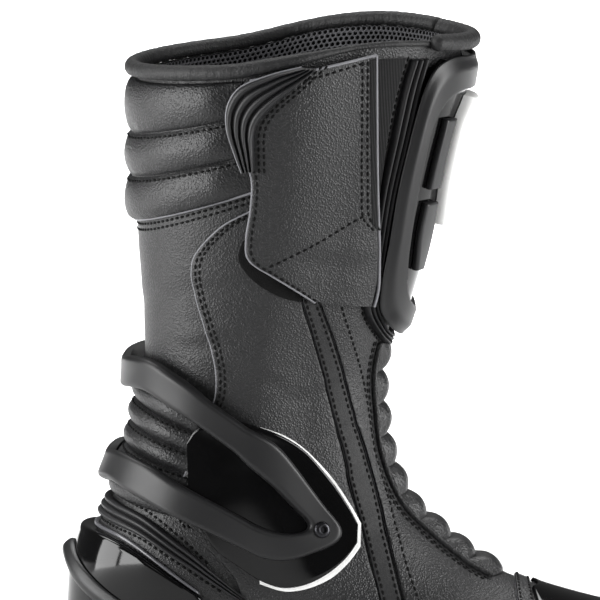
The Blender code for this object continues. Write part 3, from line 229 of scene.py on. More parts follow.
# Creases of the leather where the boot bends: angle, z, half length in degrees, tilt in mm
# over that length, half width and depth in mm
CREASES = (
    (62.0, 190.0, 24.0, 3.0, 3.4, 0.55), (84.0, 176.0, 22.0, -4.0, 3.0, 0.50),
    (118.0, 168.0, 20.0, 5.0, 3.2, 0.55), (132.0, 150.0, 16.0, 4.0, 2.8, 0.50),
    (128.0, 128.0, 18.0, 7.0, 3.0, 0.45), (136.0, 108.0, 16.0, 6.0, 3.0, 0.45),
    (112.0, 226.0, 26.0, -5.0, 5.0, 0.45), (60.0, 214.0, 22.0, 4.0, 4.5, 0.40),
    (-70.0, 186.0, 30.0, 4.0, 3.6, 0.60), (-95.0, 168.0, 26.0, -5.0, 3.4, 0.60),
    (-120.0, 150.0, 24.0, -6.0, 3.2, 0.55), (-130.0, 126.0, 20.0, -7.0, 3.0, 0.50),
    (-80.0, 222.0, 36.0, 5.0, 5.5, 0.50), (-100.0, 262.0, 40.0, -4.0, 7.0, 0.45),
    (-136.0, 98.0, 20.0, -9.0, 3.2, 0.45), (20.0, 206.0, 26.0, 3.0, 4.2, 0.45),
    (150.0, 84.0, 16.0, 6.0, 3.0, 0.40), (-152.0, 84.0, 16.0, -6.0, 3.0, 0.40),
)


def spline(rows, place, closed=False):
    """Rows of values at places between the rows, on a Catmull-Rom curve."""
    rows = np.asarray(rows, float)
    place = np.asarray(place, float)
    count = len(rows)
    if closed:
        index = np.floor(place).astype(int)
        share = (place - index)[..., None]
        a, b, c, d = (rows[(index + k) % count] for k in (-1, 0, 1, 2))
    else:
        place = np.clip(place, 0.0, count - 1.0)
        index = np.minimum(place.astype(int), count - 2)
        share = (place - index)[..., None]
        a = rows[np.maximum(index - 1, 0)]
        b = rows[index]
        c = rows[index + 1]
        d = rows[np.minimum(index + 2, count - 1)]
    square = share * share
    return 0.5 * (
        2.0 * b + (c - a) * share + (2.0 * a - 5.0 * b + 4.0 * c - d) * square
        + (3.0 * b - a - 3.0 * c + d) * square * share
    )


def columns(rows, share, closed=False):
    """Columns of a table at shares 0..1 of its rows."""
    last = len(rows) if closed else len(rows) - 1
    return np.moveaxis(spline(rows, np.asarray(share) * last, closed), -1, 0)


def smoothstep(low, high, value):
    share = np.clip((value - low) / (high - low), 0.0, 1.0)
    return share * share * (3.0 - 2.0 * share)


def rounding(share, roundness):
    return np.maximum(1.0 - np.abs(2.0 * share - 1.0) ** roundness, 0.0) ** (1.0 / roundness)


def breadth_at(values, share):
    rear, middle, fore = (
        value / rounding(station, values[7]) for value, station in zip(values[4:7], STATIONS)
    )
    low = rear + (middle - rear) * smoothstep(STATIONS[0], STATIONS[1], share)
    high = middle + (fore - middle) * smoothstep(STATIONS[1], STATIONS[2], share)
    return np.where(share < STATIONS[1], low, high)


def ring(place):
    return np.moveaxis(spline(LAST_RINGS, place), -1, 0)


def sag(share):
    return np.sin(pi * np.clip((share - 0.25) / 0.9, 0.0, 1.0)) ** 2


def skin(place, angle):
    """Points of the last's surface in mm, on rings and at angles round the boot."""
    place, angle = np.broadcast_arrays(np.asarray(place, float), np.asarray(angle, float))
    values = ring(place)
    share = 0.5 * (1.0 - np.cos(np.radians(angle)))
    side = np.where(np.sin(np.radians(angle)) > 0.0, -1.0, 1.0)
    half = rounding(share, values[7]) * breadth_at(values, share)
    x = values[0] + (values[2] - values[0]) * share - HEEL_CENTRE
    y = side * half + values[9] * smoothstep(0.45, 1.0, share)
    z = values[1] + (values[3] - values[1]) * share - values[8] * sag(share)
    return np.stack([x, y, z], -1)


def unit(vectors):
    return vectors / np.maximum(np.linalg.norm(vectors, axis=-1, keepdims=True), 1e-9)


def outward(place, angle):
    """Unit normals of the last's surface, pointing out of the boot."""
    low = np.maximum(place - 0.04, 0.0)
    high = np.minimum(place + 0.04, TOP_RING)
    along = skin(high, angle) - skin(low, angle)
    around = skin(place, angle + 1.5) - skin(place, angle - 1.5)
    return -unit(np.cross(along, around))


def bisect(rises, shape, low=0.0, high=TOP_RING):
    low = np.full(shape, low)
    high = np.full(shape, high)
    for _ in range(24):
        middle = 0.5 * (low + high)
        over = rises(middle) > 0.0
        high = np.where(over, middle, high)
        low = np.where(over, low, middle)
    return 0.5 * (low + high)


def at_height(angle, z):
    angle, z = np.broadcast_arrays(np.asarray(angle, float), np.asarray(z, float))
    return bisect(lambda place: skin(place, angle)[..., 2] - z, angle.shape), angle


def at_side(x, z, side=1.0):
    """Rings and angles of the points seen at x, z from a side, 1 outer or -1 inner."""
    x, z = np.broadcast_arrays(np.asarray(x, float), np.asarray(z, float))

    def share_on(values):
        return np.clip((x - values[0]) / (values[2] - values[0]), 0.0, 1.0)

    def rises(place):
        values = ring(place)
        share = share_on(values)
        return values[1] + (values[3] - values[1]) * share - values[8] * sag(share) - z

    place = bisect(rises, x.shape)
    return place, side * np.degrees(np.arccos(1.0 - 2.0 * share_on(ring(place))))


def at_section(x, turn):
    """Rings and angles on the foot's cross-section at x; turn runs -1, 0 at the top, 1."""
    x, turn = np.broadcast_arrays(np.asarray(x, float), np.asarray(turn, float))
    top = bisect(lambda place: x - ring(place)[2], x.shape)
    place = top * (1.0 - turn * turn)
    values = ring(place)
    share = np.clip((x - values[0]) / (values[2] - values[0]), 0.0, 1.0)
    angle = np.degrees(np.arccos(1.0 - 2.0 * share))
    return place, np.where(turn >= 0.0, angle, 360.0 - angle)


def creases(place, angle):
    """Depth in mm of the listed creases: a soft trough with a low ridge over it."""
    z = skin(place, angle)[..., 2]
    turned = (angle + 180.0) % 360.0 - 180.0
    depth = np.zeros_like(z)
    for middle, level, length, tilt, width, deep in CREASES:
        along = ((turned - middle + 180.0) % 360.0 - 180.0) / length
        across = (z - level - tilt * along - 1.2 * np.sin(3.1 * along + middle)) / width
        fade = np.exp(-2.2 * along ** 4)
        depth -= deep * fade * (np.exp(-across ** 2) - 0.55 * np.exp(-(across - 1.7) ** 2))
    return depth


def proud(where, height, creased=True):
    """Points in metres at a height in mm over the last."""
    place, angle = where
    lift = height + (creases(place, angle) if creased else 0.0)
    return (skin(place, angle) + outward(place, angle) * np.asarray(lift)[..., None]) * MM


def link(name, points, faces, finishes, face_finish=None):
    """Smooth mesh object of the boot with its finishes, riding on the frame's one body."""
    mesh = bpy.data.meshes.new(name)
    mesh.from_pydata([tuple(p) for p in np.asarray(points, float).reshape(-1, 3)], [], faces)
    for finish in finishes:
        mesh.materials.append(finish)
    if face_finish is not None:
        mesh.polygons.foreach_set("material_index", np.asarray(face_finish, np.int32))
    mesh.validate()
    shape = bmesh.new()
    shape.from_mesh(mesh)
    bmesh.ops.remove_doubles(shape, verts=shape.verts, dist=0.00001)
    bmesh.ops.dissolve_degenerate(shape, edges=shape.edges, dist=0.000005)
    bmesh.ops.recalc_face_normals(shape, faces=shape.faces)
    shape.to_mesh(mesh)
    shape.free()
    mesh.shade_smooth()
    mesh.set_sharp_from_angle(angle=radians(50.0))
    piece = bpy.data.objects.new(name, mesh)
    bpy.context.scene.collection.objects.link(piece)
    return dress(piece)


def dress(piece):
    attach(piece, "root")
    return piece


def grid_faces(rows, count, closed_rows=False, closed_columns=False, start=0):
    faces = []
    for j in range(rows if closed_rows else rows - 1):
        low = start + j * count
        high = start + (j + 1) % rows * count
        for i in range(count if closed_columns else count - 1):
            m = (i + 1) % count
            faces.append((low + i, low + m, high + m, high + i))
    return faces


def end_caps(rows, count):
    """The two end faces of a grid that is closed across."""
    return [tuple(range(count)), tuple(reversed(range((rows - 1) * count, rows * count)))]


def stops(count, edge):
    """Shares of grid lines across a plate: even inside, closer over the rounded edges."""
    near = edge * np.array((0.0, 0.06, 0.22, 0.5, 1.0))
    inner = np.linspace(edge, 1.0 - edge, count)[1:-1]
    return np.concatenate([near, inner, 1.0 - near[::-1]])


def overlay(name, finish, place, size, under, over, edge=0.5, loop=False, rim=None, creased=True,
            rounded_ends=True, foot_share=0.3, replaced=True):
    """Closed plate on the last with rounded edges.

    place(u, v) gives rings and angles, size is the number of grid lines across and along, under
    and over are heights in mm as numbers or functions of u and v, and edge is the radius in mm of
    the rounding.  rim is the finish of the cut edge.
    """
    across = np.linspace(0.0, 1.0, 9)
    along = np.linspace(0.0, 1.0, 33)
    probe = proud(place(*np.meshgrid(across, along)), 0.0, False) / MM
    width = np.linalg.norm(np.diff(probe, axis=1), axis=-1).sum(1)
    length = np.linalg.norm(np.diff(probe, axis=0), axis=-1).sum(0).max()
    u = stops(size[0], min(edge / max(np.median(width), 1e-6), 0.3))
    if loop:
        v = np.arange(size[1]) / size[1]
    elif rounded_ends:
        v = stops(size[1], min(edge / length, 0.2))
    else:
        v = np.linspace(0.0, 1.0, size[1])
    u, v = np.meshgrid(u, v)
    where = place(u, v)
    low = under(u, v) if callable(under) else np.full(u.shape, float(under))
    high = over(u, v) if callable(over) else np.full(u.shape, float(over))
    wide = np.interp(v[:, 0], along, width)[:, None]
    gap = np.minimum(np.minimum(u, 1.0 - u) * wide, edge)
    if not loop and rounded_ends:
        gap = np.minimum(gap, np.minimum(v, 1.0 - v) * length)
    near = np.clip(gap / edge, 0.0, 1.0)
    full = np.sqrt(np.maximum(1.0 - (1.0 - near) ** 2, 0.0))
    share = foot_share + (1.0 - foot_share) * full
    top = proud(where, low + (high - low) * share, creased)
    bottom = proud(where, low, creased)
    rows, count = u.shape
    points = np.concatenate([top.reshape(-1, 3), bottom.reshape(-1, 3)])
    faces = grid_faces(rows, count, loop)
    painted = [0] * len(faces)
    under_faces = [tuple(reversed(f)) for f in grid_faces(rows, count, loop, start=rows * count)]
    faces += under_faces
    painted += [0] * len(under_faces)
    shift = rows * count
    for j in range(rows if loop else rows - 1):
        k = (j + 1) % rows
        for i, turned in ((0, False), (count - 1, True)):
            wall = (j * count + i, k * count + i, shift + k * count + i, shift + j * count + i)
            faces.append(tuple(reversed(wall)) if turned else wall)
            painted.append(1 if rim else 0)
    if not loop:
        for j in (0, rows - 1):
            for i in range(count - 1):
                wall = (j * count + i, j * count + i + 1, shift + j * count + i + 1, shift + j * count + i)
                faces.append(tuple(reversed(wall)) if j == 0 else wall)
                painted.append(1 if rim else 0)
    piece = link(f"{name}_finished", points, faces, [finish] + ([rim] if rim else []), painted)
    if replaced:
        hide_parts(name)
    return piece


def tube(name, finish, path, radius, sides=10, closed=False, ends=True):
    """Round cord along points in metres; radius in mm is a number or one value for each point."""
    path = np.asarray(path, float)
    ahead = np.roll(path, -1, 0) - np.roll(path, 1, 0)
    if not closed:
        ahead[0] = path[1] - path[0]
        ahead[-1] = path[-1] - path[-2]
    ahead = unit(ahead)
    up = np.zeros_like(path)
    last = np.array((0.0, 0.0, 1.0))
    for i, forward in enumerate(ahead):
        last = last - forward * np.dot(last, forward)
        last = last / max(np.linalg.norm(last), 1e-9)
        up[i] = last
    over = np.cross(ahead, up)
    radius = np.broadcast_to(np.asarray(radius, float), (len(path),)) * MM
    turns = 2.0 * pi * np.arange(sides) / sides
    circle = (up[:, None] * np.cos(turns)[None, :, None] + over[:, None] * np.sin(turns)[None, :, None])
    points = (path[:, None] + circle * radius[:, None, None]).reshape(-1, 3)
    faces = grid_faces(len(path), sides, closed, True)
    if ends and not closed:
        faces += end_caps(len(path), sides)
    return link(name, points, faces, [finish])


# Finishes

# Metres in which a wave texture repeats at scale 1
WAVE_PERIOD = 0.314


def linear(code):
    """Linear colour of an sRGB hex code."""
    values = [int(code[i:i + 2], 16) / 255.0 for i in (1, 3, 5)]
    return tuple(v / 12.92 if v <= 0.04045 else ((v + 0.055) / 1.055) ** 2.4 for v in values) + (1.0,)


def add(tree, kind, inputs=None, **settings):
    """Add a node; inputs gives a socket its value or the socket that feeds it."""
    made = tree.nodes.new(kind)
    for key, value in settings.items():
        setattr(made, key, value)
    for key, value in (inputs or {}).items():
        if isinstance(value, bpy.types.NodeSocket):
            tree.links.new(value, made.inputs[key])
        else:
            made.inputs[key].default_value = value
    return made


def new_finish(name, **constants):
    finish = bpy.data.materials.new(name)
    finish.use_nodes = True
    tree = finish.node_tree
    shader = tree.nodes["Principled BSDF"]
    for key, value in constants.items():
        shader.inputs[key.replace("_", " ")].default_value = value
    place = add(tree, "ShaderNodeTexCoord").outputs["Object"]
    return finish, tree, shader, place


def noise(tree, place, scale, detail, **more):
    return add(tree, "ShaderNodeTexNoise", {"Vector": place, "Scale": scale, "Detail": detail, **more})


def raised(tree, height, depth_mm, strength=1.0, under=None):
    """Bump of a height socket; under is the bump that it lies on."""
    inputs = {"Strength": strength, "Distance": depth_mm * MM, "Height": height.outputs[0]}
    if under:
        inputs["Normal"] = under.outputs[0]
    return add(tree, "ShaderNodeBump", inputs)


def shaded(tree, shader, share, dark, light, low, high, drift_place, drift_mm=38.0):
    """Colour and roughness from a pattern's share, with a slow drift of tone over the piece."""
    drift = noise(tree, drift_place, 1.0 / (drift_mm * MM), 3.0)
    tone = add(tree, "ShaderNodeMix", {0: 0.28, 2: share, 3: drift.outputs[0]}, data_type="FLOAT")
    colours = add(tree, "ShaderNodeMix", {0: tone.outputs[0], 6: linear(dark), 7: linear(light)},
                  data_type="RGBA")
    tree.links.new(colours.outputs[2], shader.inputs["Base Color"])
    rough = add(tree, "ShaderNodeMapRange", {0: tone.outputs[0], 3: high, 4: low})
    tree.links.new(rough.outputs[0], shader.inputs["Roughness"])


def leather(name, dark, light, pebble_mm, depth_mm, low, high, wrinkle=0.16):
    """Embossed, pigment-coated cow leather: rounded pebbles with soft valleys, satin on their tops, which
    are also painted lighter as a highlight.
    """
    finish, tree, shader, place = new_finish(name, Specular_IOR_Level=0.50)
    bend = noise(tree, place, 0.45 / (pebble_mm * MM), 2.0)
    moved = add(tree, "ShaderNodeMix", {0: 0.0011, 4: place, 5: bend.outputs["Color"]}, data_type="VECTOR")
    cells = add(tree, "ShaderNodeTexVoronoi", {"Vector": moved.outputs[1], "Scale": 1.0 / (pebble_mm * MM)},
                feature="SMOOTH_F1")
    cells.inputs["Smoothness"].default_value = 0.25
    top = add(tree, "ShaderNodeMapRange", {0: cells.outputs["Distance"], 1: 0.62, 2: 0.12})
    pores = noise(tree, place, 3.2 / (pebble_mm * MM), 3.0)
    soft = noise(tree, place, 0.16 / (pebble_mm * MM), 4.0)
    # Pebble tops take the lighter colour: a painted highlight on each pebble, on top of the real lower
    # roughness there.
    shaded(tree, shader, top.outputs[0], dark, light, low, high, place)
    first = raised(tree, top, depth_mm)
    second = raised(tree, pores, 0.25 * depth_mm, 0.5, first)
    third = raised(tree, soft, 2.6 * depth_mm, wrinkle, second)
    tree.links.new(third.outputs[0], shader.inputs["Normal"])
    return finish


def plastic(name, dark, light, low, high, grain_mm, depth_mm, **constants):
    """Moulded polymer or rubber: fine even texture off the tool, with faint handling marks."""
    finish, tree, shader, place = new_finish(name, **constants)
    grain = noise(tree, place, 1.0 / (grain_mm * MM), 4.0)
    smear = noise(tree, place, 90.0, 5.0, Distortion=0.6)
    shaded(tree, shader, smear.outputs[0], dark, light, low, high, place, 24.0)
    bump = raised(tree, grain, depth_mm)
    tree.links.new(bump.outputs[0], shader.inputs["Normal"])
    return finish


def woven(name, dark, light, rib_mm, depth_mm, turn, sheen=0.25):
    """Woven elastic: parallel covered rubber threads with a cross weft, matt with a soft sheen."""
    finish, tree, shader, place = new_finish(name, Specular_IOR_Level=0.25, Sheen_Weight=sheen,
                                             Sheen_Roughness=0.5)
    turned = add(tree, "ShaderNodeMapping", {"Vector": place, "Rotation": turn})
    rib_scale, weft_scale = WAVE_PERIOD / (rib_mm * MM), WAVE_PERIOD / (0.7 * rib_mm * MM)
    ribs = add(tree, "ShaderNodeTexWave",
               {"Vector": turned.outputs[0], "Scale": rib_scale, "Distortion": 0.6}, bands_direction="X")
    weft = add(tree, "ShaderNodeTexWave", {"Vector": turned.outputs[0], "Scale": weft_scale},
               bands_direction="Z")
    both = add(tree, "ShaderNodeMath", {0: ribs.outputs[1], 1: weft.outputs[1]}, operation="MULTIPLY")
    weave = add(tree, "ShaderNodeMath", {0: both.outputs[0], 1: ribs.outputs[1]}, operation="ADD")
    half = add(tree, "ShaderNodeMath", {0: weave.outputs[0], 1: 0.5}, operation="MULTIPLY")
    shaded(tree, shader, half.outputs[0], dark, light, 0.72, 0.92, place)
    bump = raised(tree, half, depth_mm)
    tree.links.new(bump.outputs[0], shader.inputs["Normal"])
    return finish


# Coated cow leather, embossed pebble: near black, each pebble's top satin and painted lighter as a highlight
LEATHER = leather("pebbled_leather", "#151516", "#1f1f20", 0.95, 0.17, 0.36, 0.50)
# The same hide drawn over foam: the stretch flattens and enlarges its pebble
PADDED = leather("padded_leather", "#151516", "#1f1f20", 1.05, 0.16, 0.35, 0.48)
# Softer garment hide of the collar rolls, duller than the shaft's; its darker colour is painted shade on the
# rolls
COLLAR_PAINTED_SHADE = leather("collar_leather_painted_shade", "#0d0d0e", "#161617", 1.05, 0.12, 0.50, 0.65)
# Brushed microfibre: fine, even and matt, so it reads darker beside the hide
MICROFIBRE = leather("microfibre_leather", "#101011", "#1b1b1c", 0.70, 0.04, 0.55, 0.72, 0.2)
# Cut edge of a dyed hide, inked grey: a thin pale line round each panel
CUT_EDGE = plastic("inked_leather_edge", "#626266", "#86868a", 0.45, 0.60, 0.5, 0.02)
# Woven elastic webbing, fine upright ribs
ELASTIC = woven("woven_elastic", "#060607", "#151516", 0.9, 0.10, (0.0, 0.0, 0.4))
# Hook tape: short cropped hooks, almost no reflection
HOOK = plastic("hook_tape", "#080808", "#181818", 0.85, 1.00, 0.7, 0.25, Specular_IOR_Level=0.15)
# Thermoplastic rubber, moulded: dull with soft highlights on its ribs
RUBBER = plastic("moulded_rubber", "#121213", "#1e1e20", 0.42, 0.58, 0.35, 0.012, Specular_IOR_Level=0.45)
# Vulcanised tread rubber: dull, dusted grey in its grain
TREAD = plastic("tread_rubber", "#151516", "#242425", 0.60, 0.78, 0.6, 0.03, Specular_IOR_Level=0.35)
# Polyurethane from an etched tool: satin, with wide soft highlights
SATIN = plastic("satin_polyurethane", "#121213", "#1a1a1b", 0.36, 0.46, 0.22, 0.012,
                Specular_IOR_Level=0.42)
# The same from a fine-etched tool, for the pads
PAD = plastic("etched_polyurethane", "#141415", "#1f1f21", 0.34, 0.46, 0.30, 0.012)
# Polished polycarbonate blend: mirror-like black
GLOSS = plastic("polished_polycarbonate", "#040405", "#090909", 0.05, 0.10, 0.9, 0.0015,
                Specular_IOR_Level=0.36)
# Moulded white ABS: slightly warm, satin
WHITE = plastic("white_abs", "#f0f0ee", "#fafaf9", 0.22, 0.34, 0.25, 0.004)
# Nylon bead, shiny on its crown; its lighter grey colour is a painted highlight along the counter's top edge
BEAD_PAINTED_HIGHLIGHT = plastic("bead_painted_highlight", "#4a4a4d", "#6c6c70", 0.16, 0.26, 0.3, 0.004)
# Oxide-blackened steel of the screws
STEEL = plastic("blackened_steel", "#2a2a2c", "#454548", 0.24, 0.36, 0.18, 0.004, Metallic=1.0)
# Bonded polyester thread: a round twisted cord with a waxed shine
THREAD = plastic("bonded_thread", "#040404", "#090909", 0.60, 0.75, 0.12, 0.02, Specular_IOR_Level=0.15)
# Spacer mesh of polyester: open hexagons over a dark foam
MESH = plastic("spacer_mesh", "#38383a", "#5a5a5e", 0.55, 0.70, 0.2, 0.03, Sheen_Weight=0.15)
# Foam behind the mesh and the textile inside: black and matt
FOAM = plastic("lining_foam", "#08080a", "#121213", 0.85, 0.95, 0.4, 0.05, Specular_IOR_Level=0.2)


# Upper and lining

def make_upper():
    """Creased outside of the leather from feather line to collar, its wall and its textile inside."""
    rows, count = 190, 200
    place = np.linspace(0.0, TOP_RING, rows)[:, None]
    angle = (360.0 * np.arange(count) / count)[None, :]
    place, angle = np.broadcast_arrays(place, angle)
    outer = proud((place, angle), 0.0)
    inner_step = 3
    inner_rows = list(range(0, rows, inner_step))
    if inner_rows[-1] != rows - 1:
        inner_rows.append(rows - 1)
    inner = proud((place[inner_rows], angle[inner_rows]), -2.2, False)
    faces = [tuple(reversed(f)) for f in grid_faces(rows, count, False, True)]
    painted = [0] * len(faces)
    start = rows * count
    inside = grid_faces(len(inner_rows), count, False, True, start)
    faces += inside
    painted += [1] * len(inside)
    for low, high in ((0, start), ((rows - 1) * count, start + (len(inner_rows) - 1) * count)):
        for i in range(count):
            k = (i + 1) % count
            faces.append((low + i, low + k, high + k, high + i))
            painted.append(1)
    piece = link("upper_leather", np.concatenate([outer.reshape(-1, 3), inner.reshape(-1, 3)]), faces,
                 [LEATHER, FOAM], painted)
    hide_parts("upper")


def make_mesh_lining():
    """Hexagonal spacer mesh round the inside of the collar, a band of open cells."""
    around = 176
    rows = 22
    faces = []
    hexagon = [radians(60.0 * k + 30.0) for k in range(6)]
    centres = np.array([(column + 0.5 * (row % 2), row) for row in range(rows) for column in range(around)])
    step = 360.0 / around
    depth = 1.2 + centres[:, 1] * LINING_PITCH * 0.866
    shapes = []
    for radius, sink in ((0.60, 0.0), (0.43, 0.10), (0.37, 0.62)):
        ring_points = []
        for turn in hexagon:
            angle = (centres[:, 0] + radius * 0.962 * cos(turn)) * step
            down = depth + radius * LINING_PITCH * sin(turn)
            top, _ = at_height(angle, skin(TOP_RING, angle)[..., 2] - down)
            level = -(LINING_DEPTH + LINING_THICKNESS * (1.0 - sink))
            ring_points.append(proud((np.minimum(top, TOP_RING), angle), level, False))
        shapes.append(np.stack(ring_points, 1))
    block = np.concatenate(shapes, 1)
    for n in range(len(centres)):
        for low in (18 * n, 18 * n + 6):
            high = low + 6
            for k in range(6):
                m = (k + 1) % 6
                faces.append((low + k, low + m, high + m, high + k))
    points = block.reshape(-1, 3)
    mesh = bpy.data.meshes.new("collar_mesh_lining")
    mesh.from_pydata([tuple(p) for p in points], [], faces)
    mesh.materials.append(MESH)
    shape = bmesh.new()
    shape.from_mesh(mesh)
    bmesh.ops.remove_doubles(shape, verts=shape.verts, dist=0.00012)
    bmesh.ops.dissolve_degenerate(shape, edges=shape.edges, dist=0.00002)
    shape.to_mesh(mesh)
    shape.free()
    piece = bpy.data.objects.new("collar_mesh_lining", mesh)
    bpy.context.scene.collection.objects.link(piece)
    dress(piece)


def collar_roll(name, start, end, steps, radius, lean, gathers, thin=None):
    """Padded binding rolled over the collar's edge, with small gathers across it.

    thin gives x where the roll starts to narrow, x where it ends, and its least radius.
    """
    angle = np.linspace(start, end, steps)
    top = np.full_like(angle, TOP_RING)
    edge = skin(top, angle)
    normal = outward(top, angle)
    up = unit(edge - skin(top - 0.1, angle))
    wide = np.full(steps, float(radius))
    if thin:
        along = smoothstep(thin[0], thin[1], edge[:, 0] + HEEL_CENTRE)
        wide = np.where(angle > 0.0, radius + (thin[2] - radius) * along, wide)
    off = lean * wide / radius
    rise = np.sqrt((wide + SEAT) ** 2 - off ** 2) - 0.5 * wide / radius
    centre = edge + normal * off[:, None] + up * rise[:, None]
    sides = 20
    turns = 2.0 * pi * np.arange(sides) / sides
    seed = np.random.default_rng(7)
    phase = np.cumsum(0.6 + 0.8 * seed.random(steps)) * gathers
    swell = 1.0 + 0.016 * np.sin(phase) + 0.012 * np.sin(2.3 * phase + 1.0)
    run = np.concatenate([[0.0], np.linalg.norm(np.diff(centre, axis=0), axis=1).cumsum()])
    near = np.clip(np.minimum(run, run[-1] - run) / (0.8 * wide), 0.0, 1.0)
    scale = wide * swell * np.sqrt(np.maximum(1.0 - (1.0 - near) ** 2, 0.04))
    pull = 1.0 - 0.16 * np.exp(-((turns - 1.5 * pi) / 0.5) ** 2)
    circle = normal[:, None] * np.cos(turns)[None, :, None] + up[:, None] * np.sin(turns)[None, :, None]
    points = (centre[:, None] + circle * (scale[:, None] * pull[None, :])[..., None]) * MM
    faces = grid_faces(steps, sides, False, True)
    faces += end_caps(steps, sides)
    # The rolls take the darker collar leather, whose colour is painted shade.
    piece = link(f"{name}_padding", points, faces, [COLLAR_PAINTED_SHADE])
    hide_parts(name)


# Padded pieces

def calf_place(u, v):
    back, end, x = columns(CALF_SEAMS, v)
    _, edge_angle = at_side(x, end)
    angle = edge_angle * (2.0 * u - 1.0)
    share = (1.0 - np.cos(np.radians(angle))) / (1.0 - np.cos(np.radians(edge_angle)))
    return at_height(angle, back + (end - back) * share)


def puckers(u, v, rolls, pitch, strength):
    """Fine gathers that stand off each seam and die out on the roll's crown."""
    near = np.abs(np.sin(pi * rolls * v))
    waves = np.sin(u * pitch + 2.1 * np.sin(u * pitch * 0.37) + 3.0 * np.floor(rolls * v))
    return strength * waves * np.exp(-(near / 0.45) ** 2) * smoothstep(0.02, 0.25, near)


def calf_over(u, v):
    rolls = len(CALF_SEAMS) - 1
    swell = np.abs(np.sin(pi * rolls * v)) ** 0.55
    ends = smoothstep(0.0, 0.10, np.minimum(u, 1.0 - u))
    return (1.7 + 4.0 * swell) * (0.36 + 0.64 * ends) + puckers(u, v, rolls, 150.0, 0.34)


def achilles_place(u, v):
    angle = ACHILLES_END * (2.0 * u - 1.0)
    share = (1.0 - np.cos(np.radians(angle))) / (1.0 - cos(radians(ACHILLES_END)))
    (top, top_end), (foot, foot_end) = ACHILLES_SEAMS
    high = top + (top_end - top) * share
    low = foot + (foot_end - foot) * share
    return at_height(angle, high + (low - high) * v)


def achilles_over(u, v):
    swell = np.abs(np.sin(pi * ACHILLES_ROLLS * v)) ** 0.6
    ends = 0.4 + 0.6 * smoothstep(0.0, 0.15, np.minimum(u, 1.0 - u))
    return (1.2 + 4.0 * swell) * ends + puckers(u, v, ACHILLES_ROLLS, 110.0, 0.2)


def front_ring(share):
    """Rings at shares of the running length down the front line, over the instep."""
    top, _ = at_height(np.array(180.0), np.array(187.0))
    end, _ = at_section(np.array(192.0), np.array(0.0))
    places = np.linspace(float(top), float(end), 240)
    points = skin(places, 180.0)
    lengths = np.concatenate([[0.0], np.linalg.norm(np.diff(points, axis=0), axis=1).cumsum()])
    return np.interp(share, lengths / lengths[-1], places)


def flex_place(u, v):
    return front_ring(v), 180.0 + 18.0 * (1.0 - 2.0 * u)


def flex_over(u, v):
    swell = np.abs(np.sin(pi * FLEX_RIBS * v)) ** 0.7
    ends = 0.3 + 0.7 * smoothstep(0.0, 0.25, np.minimum(u, 1.0 - u))
    return 0.9 + 3.6 * swell * ends + puckers(u, v, FLEX_RIBS, 60.0, 0.12)


# Plates by their tables

def side_rows(table, side=1.0):
    def place(u, v):
        x0, z0, x1, z1 = columns(table, v)
        return at_side(x0 + (x1 - x0) * u, z0 + (z1 - z0) * u, side)
    return place


def ribbed(base, height, ribs, power=1.0):
    def over(u, v):
        return base + (height - base) * np.abs(np.sin(pi * ribs * u)) ** power
    return over


def front_rows(table):
    """place(u, v) of a closed ring round the front line, mirrored from its half table."""
    table = np.array(table)
    back = table[-2:0:-1] * np.array((1.0, -1.0, 1.0, -1.0))
    whole = np.concatenate([table, back])

    def place(u, v):
        z0, a0, z1, a1 = columns(whole, v, True)
        return at_height(180.0 - (a0 + (a1 - a0) * u), z0 + (z1 - z0) * u)
    return place


def gasket_place(u, v):
    table = np.array(SHIN_GASKET)
    whole = np.concatenate([table, (table * np.array((1.0, -1.0, 1.0, -1.0)))[-2::-1]])
    z0, a0, z1, a1 = columns(whole, v)
    return at_height(180.0 - (a0 + (a1 - a0) * u), z0 + (z1 - z0) * u)


def brace_place(u, v):
    table = np.array(ANKLE_BRACE)
    back = table[::-1][1:-1] * np.array((-1.0, 1.0, -1.0, 1.0))
    a0, z0, a1, z1 = columns(np.concatenate([table, back]), v, True)
    return at_height(a0 + (a1 - a0) * u, z0 + (z1 - z0) * u)


def band_rows(table):
    """place(u, v) of a band with rows z and half width in degrees, about the front line."""
    def place(u, v):
        z, half = columns(table, v)
        return at_height(180.0 - half * (1.0 - 2.0 * u), z)
    return place


def pad_rows(table, side):
    def place(u, v):
        z, a0, a1 = columns(table, v)
        return at_height(180.0 - side * (a0 + (a1 - a0) * u), z)
    return place


def edge_rows(table, side):
    def place(u, v):
        x, high, low = columns(table, v)
        return at_side(x, high + (low - high) * u, side)
    return place


def heel_rows(table):
    """place(u, v) of a band round the heel, mirrored from rows of angle, top z and bottom z."""
    table = np.array(table)[:, :3]
    whole = np.concatenate([(table * np.array((-1.0, 1.0, 1.0)))[:0:-1], table])

    def place(u, v):
        angle, high, low = columns(whole, v)
        return at_height(angle, high + (low - high) * u)
    return place


def counter_top(angle, ends):
    return 103.5 - 23.5 * np.minimum(np.abs(angle) / ends, 1.0) ** 4.0


def counter_place(u, v):
    ends = 60.0 + 3.0 * v
    angle = ends * (2.0 * u - 1.0)
    high = counter_top(angle, ends)
    return at_height(angle, high + (31.5 - high) * v)


def counter_height(angle, z):
    back = np.maximum(np.cos(np.radians(1.3 * angle)), 0.0) ** 2
    return SEAT + 3.3 + 3.6 * back * smoothstep(-0.1, 0.9, (z - 31.5) / 72.0)


def counter_over(u, v):
    ends = 60.0 + 3.0 * v
    angle = ends * (2.0 * u - 1.0)
    high = counter_top(angle, ends)
    return counter_height(angle, high + (31.5 - high) * v)


def trim_place(u, v):
    angle = 60.0 * (2.0 * v - 1.0)
    return at_height(angle, counter_top(angle, 60.0) + 0.9 + 1.7 * u)


def spur_under(u, v):
    place, angle = heel_rows(HEEL_SPUR)(u, v)
    return counter_height(angle, skin(place, angle)[..., 2]) + SEAT


def spur_over(u, v):
    share = np.interp(np.abs(2.0 * v - 1.0) * 4.0, range(5), [row[3] for row in HEEL_SPUR])
    return spur_under(u, v) + 4.2 * share * (0.35 + 0.65 * np.sin(pi * u))


